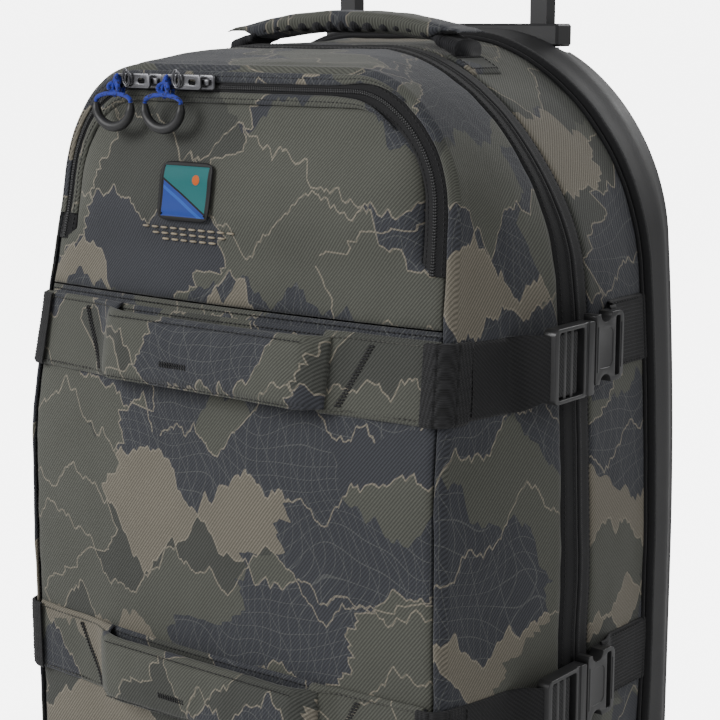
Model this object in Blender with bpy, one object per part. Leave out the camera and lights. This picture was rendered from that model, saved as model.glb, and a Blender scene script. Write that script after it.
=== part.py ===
"""Rolling duffel bag: a zipped fabric body on a moulded back shell, with wheels and a telescopic handle.

Metres, +Z up. The front of the bag faces -Y, and +X is the right side of someone who looks at the front.
The origin is on the floor under the middle of the bag.
"""
import math

import bmesh
import bpy
from mathutils import Matrix, Vector

# Gaps and wall thicknesses
GAP = 0.0003
FABRIC = 0.004
SHELL = 0.003

# The fabric body, from its front rim to the back of the moulded shell. Each station is
# (depth Y, half width, top Z, radius of the top corners, how far the top leans back).
STATIONS = (
    (-0.119, 0.1650, 0.576, 0.070, 0.000),
    (-0.060, 0.1760, 0.583, 0.100, 0.004),
    (-0.005, 0.1835, 0.587, 0.130, -0.015),
    (0.077, 0.1840, 0.590, 0.138, 0.000),
    (0.100, 0.1870, 0.600, 0.135, 0.000),
    (0.118, 0.1830, 0.597, 0.125, 0.000),
    (0.130, 0.1650, 0.580, 0.105, 0.000),
)
FRONT = STATIONS[0][0]
BODY_BOTTOM = 0.045
BOTTOM_RADIUS = 0.030
MIDDLE_Z = 0.310
HALF_HEIGHT = 0.266
BULGE = 0.010
FRONT_EDGE = 0.006
SIDE_SHARES = (0.3, 0.6, 0.8, 0.87, 0.94)
FACE_SCALES = (0.25, 0.45, 0.6, 0.7, 0.8, 0.9, 1.0)
TAPER = 1.1
TAPER_START = 0.26
LEAN_START = 0.43
LEAN_LENGTH = 0.145
# The front face leans back by FRONT_LEAN between two heights, fading out by a depth
FRONT_LEAN = 0.027
FRONT_LEAN_Z = (0.350, 0.506)
FRONT_LEAN_END = -0.060

# Depths at which one ring of the body ends and the next begins
ZIP_FRONT = -0.019
ZIP_SLIT = -0.005
ZIP_REAR = 0.009
PIPING_Y = 0.077
PIPING_R = 0.0036
PIPING_LOW = 0.086
PIPING_SEAM = 0.0045
LINING_Y = 0.097
LINING = 0.002

# Lid, boot and pocket
SPLIT_Z = 0.0748
LID_HINGE_Y = -0.1255
POCKET_LOW = 0.468
POCKET_EDGE = 0.0047
POCKET_ZIP = 0.009
FLAP_EASE = 0.0018
POCKET_BACK = -0.072
LINER = 0.0015
LINER_EASE = 0.0018

# Rubber patch: opposite corners in X and Z
PATCH_CORNERS = ((-0.033, 0.482), (0.010, 0.519))
PATCH_LIFT = 0.0008
PATCH = 0.0022

# Compression bands, straps and buckles
BAND_Z = (0.408, 0.203)
BAND_HEIGHT = 0.045
BAND_HALF = 0.158
BAND = 0.002
WEB = 0.0016
PAD_HALF = 0.091
PAD_HEIGHT = 0.047
PAD_FRONT = -0.1422
PAD_BACK = -0.1352
UPPER_PAD_FORWARD = 0.002
STRAP_START = -0.100
STRAP_END = -0.056
BUCKLE_INNER = 0.1865
BUCKLE_OUTER = 0.1955
CLIP_Y = (-0.053, -0.0105)
CLIP_TIP = 0.004
CLIP_HEIGHT = 0.044
CLIP_RISE = 0.005
SOCKET_Y = (-0.010, 0.021)
SOCKET_HEIGHT = 0.042
SOCKET_RISE = 0.009
REAR_WEB_Y = (0.024, 0.071)
REAR_WEB_RISE = 0.011

# Telescopic handle
TUBE_X = 0.078
TUBE_Y = 0.112
FRAME_Z = (0.318, 0.5855)
MIDDLE_Z_RANGE = (0.545, 0.812)
TOP_Z_RANGE = (0.765, 1.0132)
OUTER_TUBE = (0.0165, 0.0150)
BORE = (0.0133, 0.0113)
MIDDLE_TUBE = (0.0125, 0.0105)
MIDDLE_BORE = (0.0103, 0.0083)
TOP_TUBE = (0.0096, 0.0076)
BEZEL_Z = (0.586, 0.6005)
BEZEL_Y = (0.103, 0.121)
BEZEL_HALF = 0.095
GRIP_Z = (1.0135, 1.0380)
GRIP_HALF = 0.094
GRIP_DEPTH = 0.026
BUTTON_Z = (1.0322, 1.0405)
BUTTON_HALF = (0.014, 0.006)

# Wheels and foot
WHEEL_R = 0.036
WHEEL_Y = 0.0977
WHEEL_X = 0.152
TYRE_WIDTH = 0.024
HUB_R = 0.0265
AXLE_R = 0.0040
BORE_R = 0.00408
HOUSING_R = (0.0397, 0.0445)
HOUSING_X = (0.1290, 0.1760)
WELL_R = 0.0462
FOOT_HALF = 0.125
FOOT_Y = (-0.103, -0.070)

# Pocket pulls: pivots along the zip, and the pull's own sizes
PULL_X = (-0.066, -0.024)
PULL_Z = 0.5665
TAB_LENGTH = 0.028
TAB_HEIGHT = 0.009
TAB = 0.0016
SLIDER_Y = (-0.0990, -0.0940)
TAB_Y = -0.1010
CORD_Y = -0.1048
CORD_R = 0.00135
PULL_GRIP_R = 0.0028
PULL_GRIP_HALF = 0.0150
PULL_GRIP_TOP = 0.553

# Main zip slider, on the left side of the bag
MAIN_SLIDER_Z = 0.335
MAIN_SLIDER_X = (0.1842, 0.1884)

CORNER_STEPS = 8
ROUND_SIDES = 24


def clear_scene():
    for item in list(bpy.data.objects):
        bpy.data.objects.remove(item, do_unlink=True)


def smooth(value):
    value = min(max(value, 0.0), 1.0)
    return value * value * (3.0 - 2.0 * value)


def paint(name, colour, roughness, metallic=0.0):
    material = bpy.data.materials.new(name)
    material.use_nodes = True
    shader = material.node_tree.nodes["Principled BSDF"]
    shader.inputs["Base Color"].default_value = (*colour, 1.0)
    shader.inputs["Roughness"].default_value = roughness
    shader.inputs["Metallic"].default_value = metallic
    return material


CAMO = (0.075, 0.075, 0.055)
BLACK = (0.012, 0.012, 0.014)
WEBBING = (0.018, 0.018, 0.020)
PLASTIC = (0.035, 0.036, 0.038)
METAL = (0.10, 0.10, 0.11)
BLUE = (0.03, 0.05, 0.55)
LINING_GREY = (0.09, 0.09, 0.10)


def place(name, bm, colour, roughness=0.8, metallic=0.0, origin=(0.0, 0.0, 0.0)):
    """Makes one named object from the mesh, with its own origin and its own material."""
    bmesh.ops.recalc_face_normals(bm, faces=bm.faces)
    bmesh.ops.translate(bm, verts=bm.verts, vec=-Vector(origin))
    mesh = bpy.data.meshes.new(name)
    bm.to_mesh(mesh)
    bm.free()
    mesh.shade_smooth()
    mesh.set_sharp_from_angle(angle=math.radians(35.0))
    thing = bpy.data.objects.new(name, mesh)
    thing.location = origin
    mesh.materials.append(paint(name, colour, roughness, metallic))
    bpy.context.collection.objects.link(thing)
    return thing


def cutter(name, bm):
    thing = place(name, bm, CAMO)
    thing.hide_render = True
    thing.display_type = "WIRE"
    return thing


def cut(thing, tool, operation="DIFFERENCE"):
    modifier = thing.modifiers.new(tool.name, "BOOLEAN")
    modifier.object = tool
    modifier.operation = operation
    modifier.solver = "EXACT"


def skin(rings, loop=False):
    """Joins each ring of points to the next one. The ends close with a fan, or on each other in a loop."""
    bm = bmesh.new()
    rows = [[bm.verts.new(point) for point in ring] for ring in rings]
    pairs = list(zip(rows, rows[1:]))
    if loop:
        pairs.append((rows[-1], rows[0]))
    for near, far in pairs:
        for i in range(len(near)):
            j = (i + 1) % len(near)
            bm.faces.new((near[i], near[j], far[j], far[i]))
    if not loop:
        for row in (rows[0], rows[-1]):
            centre = bm.verts.new(sum((v.co for v in row), Vector()) / len(row))
            for i in range(len(row)):
                bm.faces.new((row[i], row[(i + 1) % len(row)], centre))
    return bm


def box(low, high):
    bm = bmesh.new()
    bmesh.ops.create_cube(bm, size=1.0)
    size = Vector(high) - Vector(low)
    bmesh.ops.scale(bm, verts=bm.verts, vec=size)
    bmesh.ops.translate(bm, verts=bm.verts, vec=(Vector(low) + Vector(high)) / 2)
    return bm


def soft_box(low, high, radius, steps=2):
    bm = box(low, high)
    bmesh.ops.bevel(bm, geom=bm.edges[:], offset=radius, segments=steps, affect="EDGES", profile=0.5)
    return bm


def ring_about_x(x, y, z, radius, sides=ROUND_SIDES):
    turns = (2 * math.pi * i / sides for i in range(sides))
    return [Vector((x, y + radius * math.cos(t), z + radius * math.sin(t))) for t in turns]


# The body's skin ------------------------------------------------------------------------------------

def section(y):
    """Half width, top, corner radius and lean of the body at a depth."""
    if y <= STATIONS[0][0]:
        return STATIONS[0][1:]
    for low, high in zip(STATIONS, STATIONS[1:]):
        if y <= high[0]:
            share = (y - low[0]) / (high[0] - low[0])
            return tuple(a + share * (b - a) for a, b in zip(low[1:], high[1:]))
    return STATIONS[-1][1:]


def taper(z):
    return 1.0 - TAPER * max(z - TAPER_START, 0.0) ** 2


def lean_share(z):
    return smooth((z - LEAN_START) / LEAN_LENGTH)


def front_lean(z):
    low, high = FRONT_LEAN_Z
    return FRONT_LEAN * min(max((z - low) / (high - low), 0.0), 1.0)


def lean_at(y, z):
    """How far back a point of the body's outline stands from its station."""
    ahead = min(max((FRONT_LEAN_END - y) / (FRONT_LEAN_END - FRONT), 0.0), 1.0)
    return section(y)[3] * lean_share(z) + ahead * front_lean(z)


def side_x(y, z):
    return section(y)[0] * taper(z)


def top_z(x, y):
    """Height of the body's top over a point."""
    half, top, radius, _lean = section(y)
    past = abs(x) / taper(top) - (half - radius)
    if past <= 0:
        return top
    return top - radius + math.sqrt(max(radius ** 2 - past ** 2, 0.0))


def flat_outline(half, top, bottom, radius, bottom_radius):
    """Rounded outline in X and Z, anticlockwise seen from the front, from the middle of the bottom."""
    right = [(0.0, bottom), (0.5 * (half - bottom_radius), bottom)]
    for i in range(4):
        turn = -math.pi / 2 + math.pi / 2 * i / 3
        right.append((half - bottom_radius + bottom_radius * math.cos(turn),
                      bottom + bottom_radius + bottom_radius * math.sin(turn)))
    low = bottom + bottom_radius
    high = top - radius
    right += [(half, low + share * (high - low)) for share in SIDE_SHARES]
    for i in range(CORNER_STEPS + 1):
        turn = math.pi / 2 * i / CORNER_STEPS
        right.append((half - radius + radius * math.cos(turn), high + radius * math.sin(turn)))
    left = [(-x, z) for x, z in reversed(right[1:])]
    return right + [(0.0, top)] + left


def outline(y, inset=0.0):
    half, top, radius, _lean = section(y)
    flat = flat_outline(half - inset, top - inset, BODY_BOTTOM + inset, radius - inset,
                        BOTTOM_RADIUS - inset)
    return [(x * taper(z), z) for x, z in flat]


def body_ring(y, inset=0.0):
    return [Vector((x, y + lean_at(y, z), z)) for x, z in outline(y, inset)]


def front_y(x, z):
    """The bulging, leaning front face."""
    half = section(FRONT)[0]
    across = 1.0 - min(abs(x) / half, 1.0) ** 2
    up = 1.0 - min(abs(z - MIDDLE_Z) / HALF_HEIGHT, 1.0) ** 2
    return FRONT + front_lean(z) - BULGE * across * up


def face_ring(inset, scale, offset):
    ring = []
    for x, z in outline(FRONT, inset):
        x, z = x * scale, MIDDLE_Z + (z - MIDDLE_Z) * scale
        ring.append(Vector((x, front_y(x, z) + offset, z)))
    return ring


def front_cup(back):
    """The hollow front half of the body, open at the back."""
    edge = FRONT + FRONT_EDGE
    outside = [face_ring(0.004, scale, 0.0) for scale in FACE_SCALES]
    outside += [body_ring(edge), body_ring(-0.060), body_ring(back)]
    inside = [body_ring(back, FABRIC), body_ring(-0.060, FABRIC), body_ring(edge + FABRIC, FABRIC)]
    inside += [face_ring(0.004 + FABRIC, scale, FABRIC) for scale in reversed(FACE_SCALES)]
    return skin(outside + inside)


def body_band(front, back, thick):
    return skin([body_ring(front), body_ring(back), body_ring(back, thick), body_ring(front, thick)],
                loop=True)


def wheel_well(side):
    low, high = (0.1287, 0.25) if side > 0 else (-0.25, -0.1287)
    return skin([ring_about_x(x, WHEEL_Y, WHEEL_R, WELL_R) for x in (low, high)])


def above(name, z):
    return cutter(name, box((-0.5, -0.5, z), (0.5, 0.5, 1.5)))


def below(name, z):
    return cutter(name, box((-0.5, -0.5, -0.5), (0.5, 0.5, z)))


# Tub: shell, gusset, zip tape, boot -----------------------------------------------------------------

def make_tub():
    wells = [cutter("cut_well_" + name, wheel_well(side)) for name, side in (("right", 1), ("left", -1))]
    shell_front = PIPING_Y + PIPING_SEAM
    depths = (shell_front, 0.100, 0.118, 0.130)
    outside = [body_ring(y) for y in depths]
    inside = [body_ring(y - (SHELL if y > 0.110 else 0.0), SHELL) for y in depths]
    face = [[Vector((p.x * s, p.y, MIDDLE_Z + (p.z - MIDDLE_Z) * s)) for p in outside[-1]] for s in (0.8, 0.4)]
    back = [[Vector((p.x, p.y - SHELL, p.z)) for p in ring] for ring in face]
    shell = place("back_shell", skin(list(reversed(back)) + list(reversed(inside)) + outside + face), BLACK, 0.6)
    slot = cutter("cut_bezel", box((-BEZEL_HALF - GAP, BEZEL_Y[0] - GAP, 0.57), (BEZEL_HALF + GAP, BEZEL_Y[1] + GAP, 0.7)))
    for tool in (*wells, slot):
        cut(shell, tool)
    near, far = ZIP_REAR + GAP, PIPING_Y - PIPING_SEAM
    rings = [body_ring(near), body_ring(far), body_ring(far, FABRIC), body_ring(near, FABRIC)]
    for point in rings[1] + rings[2]:
        if point.z < BODY_BOTTOM + FABRIC + GAP:
            point.y = shell_front - GAP
    gusset = place("rear_gusset", skin(rings, loop=True), CAMO)
    rear_tape = place("main_zip_rear", body_band(ZIP_SLIT + GAP, ZIP_REAR, FABRIC / 2), BLACK)
    lining = place("rear_lining", skin([
        [Vector((p.x * s, y, MIDDLE_Z + (p.z - MIDDLE_Z) * s)) for p in body_ring(LINING_Y, 0.006)]
        for y, s in ((LINING_Y, 0.5), (LINING_Y, 1.0), (LINING_Y + LINING, 1.0), (LINING_Y + LINING, 0.5))
    ]), LINING_GREY)
    for tool in wells:
        cut(gusset, tool)
        cut(lining, tool)
    cut(rear_tape, below("cut_rear_tape", SPLIT_Z + GAP))
    boot = place("base_boot", front_cup(ZIP_REAR), CAMO)
    cut(boot, above("cut_boot", SPLIT_Z - GAP))


def make_piping():
    """Round cord over the seam between the gusset and the shell, from one side over the top to the other."""
    spine = [p for p in body_ring(PIPING_Y) if p.z > 0.12]
    foot = Vector((side_x(PIPING_Y, PIPING_LOW), PIPING_Y, PIPING_LOW))
    right = [foot] + sorted((p for p in spine if p.x > 0), key=lambda p: p.z)
    middle = [p for p in spine if abs(p.x) < 1e-6]
    path = right + middle + [Vector((-p.x, p.y, p.z)) for p in reversed(right)]
    rings = []
    for i, point in enumerate(path):
        along = path[min(i + 1, len(path) - 1)] - path[max(i - 1, 0)]
        out = Vector((along.z, 0.0, -along.x)).normalized()
        centre = point + out * 0.0015
        rings.append([centre + PIPING_R * (math.cos(t) * out + math.sin(t) * Vector((0, 1, 0)))
                      for t in (math.pi / 4 * k for k in range(8))])
    place("piping", skin(rings), BLACK)


# Lid and pocket -------------------------------------------------------------------------------------

def pocket_prism(name, inset, low):
    """A prism over the pocket's part of the front face."""
    flat = [(x, z) for x, z in outline(FRONT, inset) if z > low + 0.002]
    half = max(x for x, z in flat)
    flat = [(half, low)] + sorted((p for p in flat if p[0] > 0), key=lambda p: p[1]) + \
        sorted((p for p in flat if p[0] <= 0), key=lambda p: -p[1]) + [(-half, low)]
    return cutter(name, skin([[Vector((x, y, z)) for x, z in flat] for y in (-0.16, -0.062)]))


def make_lid():
    lid = place("lid_shell", front_cup(ZIP_FRONT - GAP), CAMO, origin=(0.0, LID_HINGE_Y, SPLIT_Z))
    low = below("cut_lid", SPLIT_Z + GAP)
    hole = pocket_prism("cut_pocket_hole", POCKET_EDGE, POCKET_LOW)
    cut(lid, low)
    cut(lid, hole)
    tape = place("main_zip_front", body_band(ZIP_FRONT, ZIP_SLIT - GAP, FABRIC / 2), BLACK,
                 origin=(0.0, LID_HINGE_Y, SPLIT_Z))
    cut(tape, low)

    zip_tape = place("pocket_zip", front_cup(ZIP_FRONT), BLACK)
    cut(zip_tape, pocket_prism("keep_pocket_zip", POCKET_EDGE + GAP, POCKET_LOW + GAP), "INTERSECT")
    cut(zip_tape, pocket_prism("cut_pocket_zip", POCKET_EDGE + POCKET_ZIP, POCKET_LOW - 0.01))
    flap = place("pocket_flap", front_cup(ZIP_FRONT), CAMO,
                 origin=(0.0, front_y(0.0, POCKET_LOW) - 0.001, POCKET_LOW))
    cut(flap, pocket_prism("keep_flap", POCKET_EDGE + POCKET_ZIP + FLAP_EASE, POCKET_LOW + GAP), "INTERSECT")


def make_liner():
    """Tray behind the flap: open at the front, with a flat back."""
    def rim(inset, depth):
        low = POCKET_LOW - 0.006 + inset
        flat = [(x, z) for x, z in outline(FRONT, 0.009 + inset) if z > low + 0.004]
        half = max(x for x, z in flat)
        right = [(half, low)] + sorted((p for p in flat if p[0] > 0), key=lambda p: p[1])
        points = right + [(-x, z) for x, z in reversed(right)] + [(-0.5 * half, low), (0.5 * half, low)]
        return [Vector((x, front_y(x, z) + FABRIC + LINER_EASE if depth is None else depth, z)) for x, z in points]
    back = POCKET_BACK
    rings = [rim(0.0, back), rim(0.0, None), rim(LINER, None), rim(LINER, back - LINER)]
    place("pocket_liner", skin(rings), LINING_GREY)


def make_patch():
    low, high = PATCH_CORNERS
    rows = []
    for lift in (PATCH_LIFT, PATCH_LIFT + PATCH):
        corners = ((low[0], low[1]), (high[0], low[1]), (high[0], high[1]), (low[0], high[1]))
        ring = []
        for (x0, z0), (x1, z1) in zip(corners, corners[1:] + corners[:1]):
            for share in (0.0, 0.25, 0.5, 0.75):
                x, z = x0 + share * (x1 - x0), z0 + share * (z1 - z0)
                ring.append(Vector((x, front_y(x, z) - lift, z)))
        rows.append(ring)
    place("patch", skin(rows), BLACK, 0.6)


# Bands, handles, straps and buckles -----------------------------------------------------------------

def ribbon(points, thick_axis, inner, outer):
    """A closed strip. Each column is three points up its height, lifted by inner and outer."""
    rings = []
    for column in points:
        near = [p + thick_axis * inner for p in column]
        far = [p + thick_axis * outer for p in reversed(column)]
        rings.append(near + far)
    return skin(rings)


def make_bands(level, z):
    half = BAND_HEIGHT / 2
    heights = (z - half, z, z + half)
    columns = []
    for i in range(17):
        x = BAND_HALF * (i / 8 - 1)
        columns.append([Vector((x, front_y(x, h), h)) for h in heights])
    place("band_" + level, ribbon(columns, Vector((0, -1, 0)), GAP, GAP + BAND), CAMO)

    rings = []
    high = PAD_HEIGHT / 2
    forward = UPPER_PAD_FORWARD if level == "upper" else 0.0
    for x in (-0.091, -0.086, -0.079, -0.070, -0.035, 0.0, 0.035, 0.070, 0.079, 0.086, 0.091):
        end = smooth((abs(x) - 0.070) / 0.016)
        seat = min(front_y(x, h) - front_lean(h) for h in (z - high, z, z + high)) - 2 * GAP - BAND
        inner = PAD_BACK - forward + end * (seat - PAD_BACK + forward)
        outer = PAD_FRONT - forward + (0.0040 if abs(x) > 0.090 else 0.0)
        ring = []
        middle = 0.5 * (outer + inner)
        for y, share in ((middle, 1), (outer, 0.9), (outer, -0.9), (middle, -1), (inner, -0.8), (inner, 0.8)):
            ring.append(Vector((x, y + front_lean(z + share * high), z + share * high)))
        rings.append(ring)
    place("grab_pad_" + level, skin(rings), CAMO)


def make_side_gear(level, z, side, name):
    out = Vector((side, 0, 0))

    def on_side(y, height):
        return Vector((side * side_x(y, height), y, height))

    half = BAND_HEIGHT / 2
    columns = [[on_side(STRAP_START + i / 6 * (STRAP_END - STRAP_START), z + k * half) for k in (-1, 0, 1)]
               for i in range(7)]
    place("strap_%s_%s" % (level, name), ribbon(columns, out, GAP, GAP + WEB), WEBBING)

    rear = z + REAR_WEB_RISE
    columns = [[on_side(y, rear + k * 0.022) for k in (-1, 0, 1)]
               for y in (REAR_WEB_Y[0], sum(REAR_WEB_Y) / 2, REAR_WEB_Y[1])]
    place("rear_web_%s_%s" % (level, name), ribbon(columns, out, GAP, GAP + WEB), WEBBING)

    def across(x0, x1):
        return (x0, x1) if side > 0 else (-x1, -x0)

    def block(x0, x1, y0, y1, z0, z1):
        a, b = across(x0, x1)
        return (a, y0, z0), (b, y1, z1)

    middle = z + SOCKET_RISE
    high = SOCKET_HEIGHT / 2
    socket = place("buckle_socket_%s_%s" % (level, name),
                   soft_box(*block(BUCKLE_INNER, BUCKLE_OUTER, *SOCKET_Y, middle - high, middle + high), 0.0012, 1),
                   PLASTIC, 0.45)
    mouth = box(*block(BUCKLE_INNER + 0.002, BUCKLE_OUTER - 0.002, SOCKET_Y[0] - 0.01, SOCKET_Y[1] - 0.011,
                       middle - 0.05, middle + 0.05))
    cut(socket, cutter("cut_mouth_%s_%s" % (level, name), mouth))

    middle = z + CLIP_RISE
    high = CLIP_HEIGHT / 2
    clip = place("clip_%s_%s" % (level, name),
                 soft_box(*block(BUCKLE_INNER, BUCKLE_OUTER, *CLIP_Y, middle - high, middle + high), 0.0012, 1),
                 PLASTIC, 0.45, origin=(side * (BUCKLE_INNER + BUCKLE_OUTER) / 2, CLIP_Y[1], middle))
    window = box(*block(BUCKLE_INNER - 0.01, BUCKLE_OUTER + 0.01, CLIP_Y[0] + 0.005, CLIP_Y[0] + 0.021,
                        middle - 0.0195, middle + 0.0195))
    cut(clip, cutter("cut_window_%s_%s" % (level, name), window))
    tongue = box(*block(BUCKLE_INNER + 0.0026, BUCKLE_OUTER - 0.0026, CLIP_Y[1] - 0.003, CLIP_TIP,
                        middle - 0.017, middle + 0.017))
    cut(clip, cutter("join_tongue_%s_%s" % (level, name), tongue), "UNION")


def make_top_handle():
    """Padded arch over the rear gusset, with flat sewn ends."""
    rings = []
    centre = 0.012
    width = 0.016
    for x in (-0.100, -0.092, -0.084, -0.070, -0.055, -0.035, 0.0, 0.035, 0.055, 0.070, 0.084, 0.092, 0.100):
        seat = top_z(x, 0.030) + 0.0016
        rise = 1.0 - smooth((abs(x) - 0.050) / 0.034)
        under = seat + rise * (0.5948 - seat)
        over = max(0.6085 - 0.0045 * (x / 0.054) ** 2, under + 0.003)
        if abs(x) > 0.088:
            over = under + 0.003
        half = width if abs(x) < 0.088 else 0.014
        middle = 0.6 * under + 0.4 * over
        shape = ((-1, middle), (-0.85, under + 0.3 * (middle - under)), (-0.4, under), (0.4, under),
                 (0.85, under + 0.3 * (middle - under)), (1, middle),
                 (0.7, middle + 0.75 * (over - middle)), (0, over), (-0.7, middle + 0.75 * (over - middle)))
        rings.append([Vector((x, centre + half * a, z)) for a, z in shape])
    place("top_handle", skin(rings), CAMO)


# Zip pulls ------------------------------------------------------------------------------------------

def tube(name, points, radius, colour, roughness, origin):
    """A round cord through the points, as a curve with filled ends."""
    curve = bpy.data.curves.new(name, "CURVE")
    curve.dimensions = "3D"
    curve.bevel_depth = radius
    curve.bevel_resolution = 2
    curve.use_fill_caps = True
    spline = curve.splines.new("POLY")
    spline.points.add(len(points) - 1)
    for knot, point in zip(spline.points, points):
        knot.co = (*(Vector(point) - Vector(origin)), 1.0)
    curve.materials.append(paint(name, colour, roughness))
    thing = bpy.data.objects.new(name, curve)
    thing.location = origin
    bpy.context.collection.objects.link(thing)
    return thing


def cord_loop(x):
    """From one end of the grip, up under the tab and down to the grip's other end."""
    top = PULL_Z - TAB_HEIGHT / 2 - GAP - CORD_R - 0.0004
    points = []
    for i in range(13):
        share = i / 6 - 1
        height = PULL_GRIP_TOP + GAP + (top - PULL_GRIP_TOP - GAP) * math.cos(share * math.pi / 2) ** 0.8
        points.append((x + PULL_GRIP_HALF * math.sin(share * math.pi / 2), CORD_Y, height))
    return points


def grip_bend(x):
    points = [(x - PULL_GRIP_HALF, CORD_Y, PULL_GRIP_TOP)]
    for i in range(11):
        turn = math.pi + math.pi * i / 10
        points.append((x + PULL_GRIP_HALF * math.cos(turn), CORD_Y,
                       PULL_GRIP_TOP - 0.002 + 0.85 * PULL_GRIP_HALF * math.sin(turn)))
    points.append((x + PULL_GRIP_HALF, CORD_Y, PULL_GRIP_TOP))
    return points


def make_pulls():
    for name, x in zip(("left", "right"), PULL_X):
        pivot = (x, TAB_Y, PULL_Z)
        place("pocket_slider_" + name,
              soft_box((x - 0.006, SLIDER_Y[0], PULL_Z - 0.0045), (x + 0.006, SLIDER_Y[1], PULL_Z + 0.0045), 0.001, 1),
              METAL, 0.35, 1.0)
        end = x - TAB_LENGTH
        tab = place("pull_tab_" + name,
                    soft_box((end - 0.004, TAB_Y - TAB / 2, PULL_Z - TAB_HEIGHT / 2),
                             (x + 0.0014, TAB_Y + TAB / 2, PULL_Z + TAB_HEIGHT / 2), 0.0005, 1),
                    METAL, 0.35, 1.0, origin=pivot)
        hole = box((end - 0.0015, TAB_Y - 0.01, PULL_Z - 0.002), (end + 0.0045, TAB_Y + 0.01, PULL_Z + 0.002))
        cut(tab, cutter("cut_tab_" + name, hole))
        tube("pull_cord_" + name, cord_loop(end), CORD_R, BLUE, 0.8, pivot)
        tube("pull_grip_" + name, grip_bend(end), PULL_GRIP_R, BLACK, 0.6, pivot)


def make_main_slider():
    inner, outer = MAIN_SLIDER_X
    z = MAIN_SLIDER_Z
    place("main_slider", soft_box((-outer, ZIP_SLIT - 0.0050, z - 0.007), (-inner, ZIP_SLIT + 0.0050, z + 0.007),
                                  0.001, 1), METAL, 0.35, 1.0)
    pivot = (-outer - 0.0016, ZIP_SLIT, z)
    place("main_pull", soft_box((pivot[0] - TAB / 2, ZIP_SLIT - 0.0045, z - 0.034),
                                (pivot[0] + TAB / 2, ZIP_SLIT + 0.0045, z + 0.0008), 0.0005, 1),
          METAL, 0.35, 1.0, origin=pivot)


# Telescopic handle ----------------------------------------------------------------------------------

def bar(size, x, low, high):
    return box((x - size[0] / 2, TUBE_Y - size[1] / 2, low), (x + size[0] / 2, TUBE_Y + size[1] / 2, high))


def make_handle():
    reach = TUBE_X + OUTER_TUBE[0] / 2
    frame = place("handle_frame", box((-reach, TUBE_Y - OUTER_TUBE[1] / 2, FRAME_Z[0]),
                                      (reach, TUBE_Y + OUTER_TUBE[1] / 2, FRAME_Z[1])), METAL, 0.4, 1.0)
    inside = TUBE_X - OUTER_TUBE[0] / 2
    cut(frame, cutter("cut_frame_middle", box((-inside, 0.05, FRAME_Z[0] + 0.015), (inside, 0.2, 0.8))))
    bezel = place("handle_bezel", soft_box((-BEZEL_HALF, BEZEL_Y[0], BEZEL_Z[0]), (BEZEL_HALF, BEZEL_Y[1], BEZEL_Z[1]),
                                           0.0015, 1), BLACK, 0.5)
    for name, side in (("right", 1), ("left", -1)):
        x = side * TUBE_X
        cut(frame, cutter("cut_guide_" + name, bar(BORE, x, FRAME_Z[0] + 0.017, 0.8)))
        cut(bezel, cutter("cut_bezel_" + name, bar(BORE, x, 0.5, 0.8)))
        middle = place("middle_tube_" + name, bar(MIDDLE_TUBE, x, *MIDDLE_Z_RANGE), BLACK, 0.35)
        cut(middle, cutter("cut_middle_" + name, bar(MIDDLE_BORE, x, MIDDLE_Z_RANGE[0] + 0.003, 0.9)))
        place("top_tube_" + name, bar(TOP_TUBE, x, *TOP_Z_RANGE), BLACK, 0.35)
    grip = place("handle_grip", soft_box((-GRIP_HALF, TUBE_Y - GRIP_DEPTH / 2, GRIP_Z[0]),
                                         (GRIP_HALF, TUBE_Y + GRIP_DEPTH / 2, GRIP_Z[1]), 0.006, 3), BLACK, 0.5)
    ease = 0.0004
    cut(grip, cutter("cut_button", box((-BUTTON_HALF[0] - ease, TUBE_Y - BUTTON_HALF[1] - ease, BUTTON_Z[0] - 0.0035),
                                       (BUTTON_HALF[0] + ease, TUBE_Y + BUTTON_HALF[1] + ease, 1.1))))
    place("release_button", soft_box((-BUTTON_HALF[0], TUBE_Y - BUTTON_HALF[1], BUTTON_Z[0]),
                                     (BUTTON_HALF[0], TUBE_Y + BUTTON_HALF[1], BUTTON_Z[1]), 0.001, 1),
          PLASTIC, 0.5, origin=(0.0, TUBE_Y, BUTTON_Z[0]))


# Wheels and foot ------------------------------------------------------------------------------------

def turned(profile, side, sides=ROUND_SIDES):
    """Rings about the wheel's axis, through (x, radius) pairs of a closed profile."""
    return skin([ring_about_x(side * x, WHEEL_Y, WHEEL_R, radius, sides) for x, radius in profile], loop=True)


def make_wheels():
    half = TYRE_WIDTH / 2
    for name, side in (("right", 1), ("left", -1)):
        axis = (side * WHEEL_X, WHEEL_Y, WHEEL_R)
        low, high = WHEEL_X - half, WHEEL_X + half
        place("tyre_" + name, turned(((low, HUB_R + GAP), (low, WHEEL_R - 0.004), (low + 0.004, WHEEL_R),
                                      (high - 0.004, WHEEL_R), (high, WHEEL_R - 0.004), (high, HUB_R + GAP)), side),
              BLACK, 0.8, origin=axis)
        place("hub_" + name, turned(((low, BORE_R), (low, 0.012), (low + 0.004, 0.014), (low + 0.004, HUB_R - 0.003),
                                     (low, HUB_R), (high, HUB_R), (high - 0.004, HUB_R - 0.003),
                                     (high - 0.004, 0.014), (high, 0.012), (high, BORE_R)), side),
              PLASTIC, 0.5, origin=axis)
        ends = (HOUSING_X[0] + 0.003 + GAP, HOUSING_X[1] - 0.003)
        place("axle_" + name, skin([ring_about_x(side * x, WHEEL_Y, WHEEL_R, AXLE_R) for x in ends]), METAL, 0.3, 1.0)
        make_housing(name, side)


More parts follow.
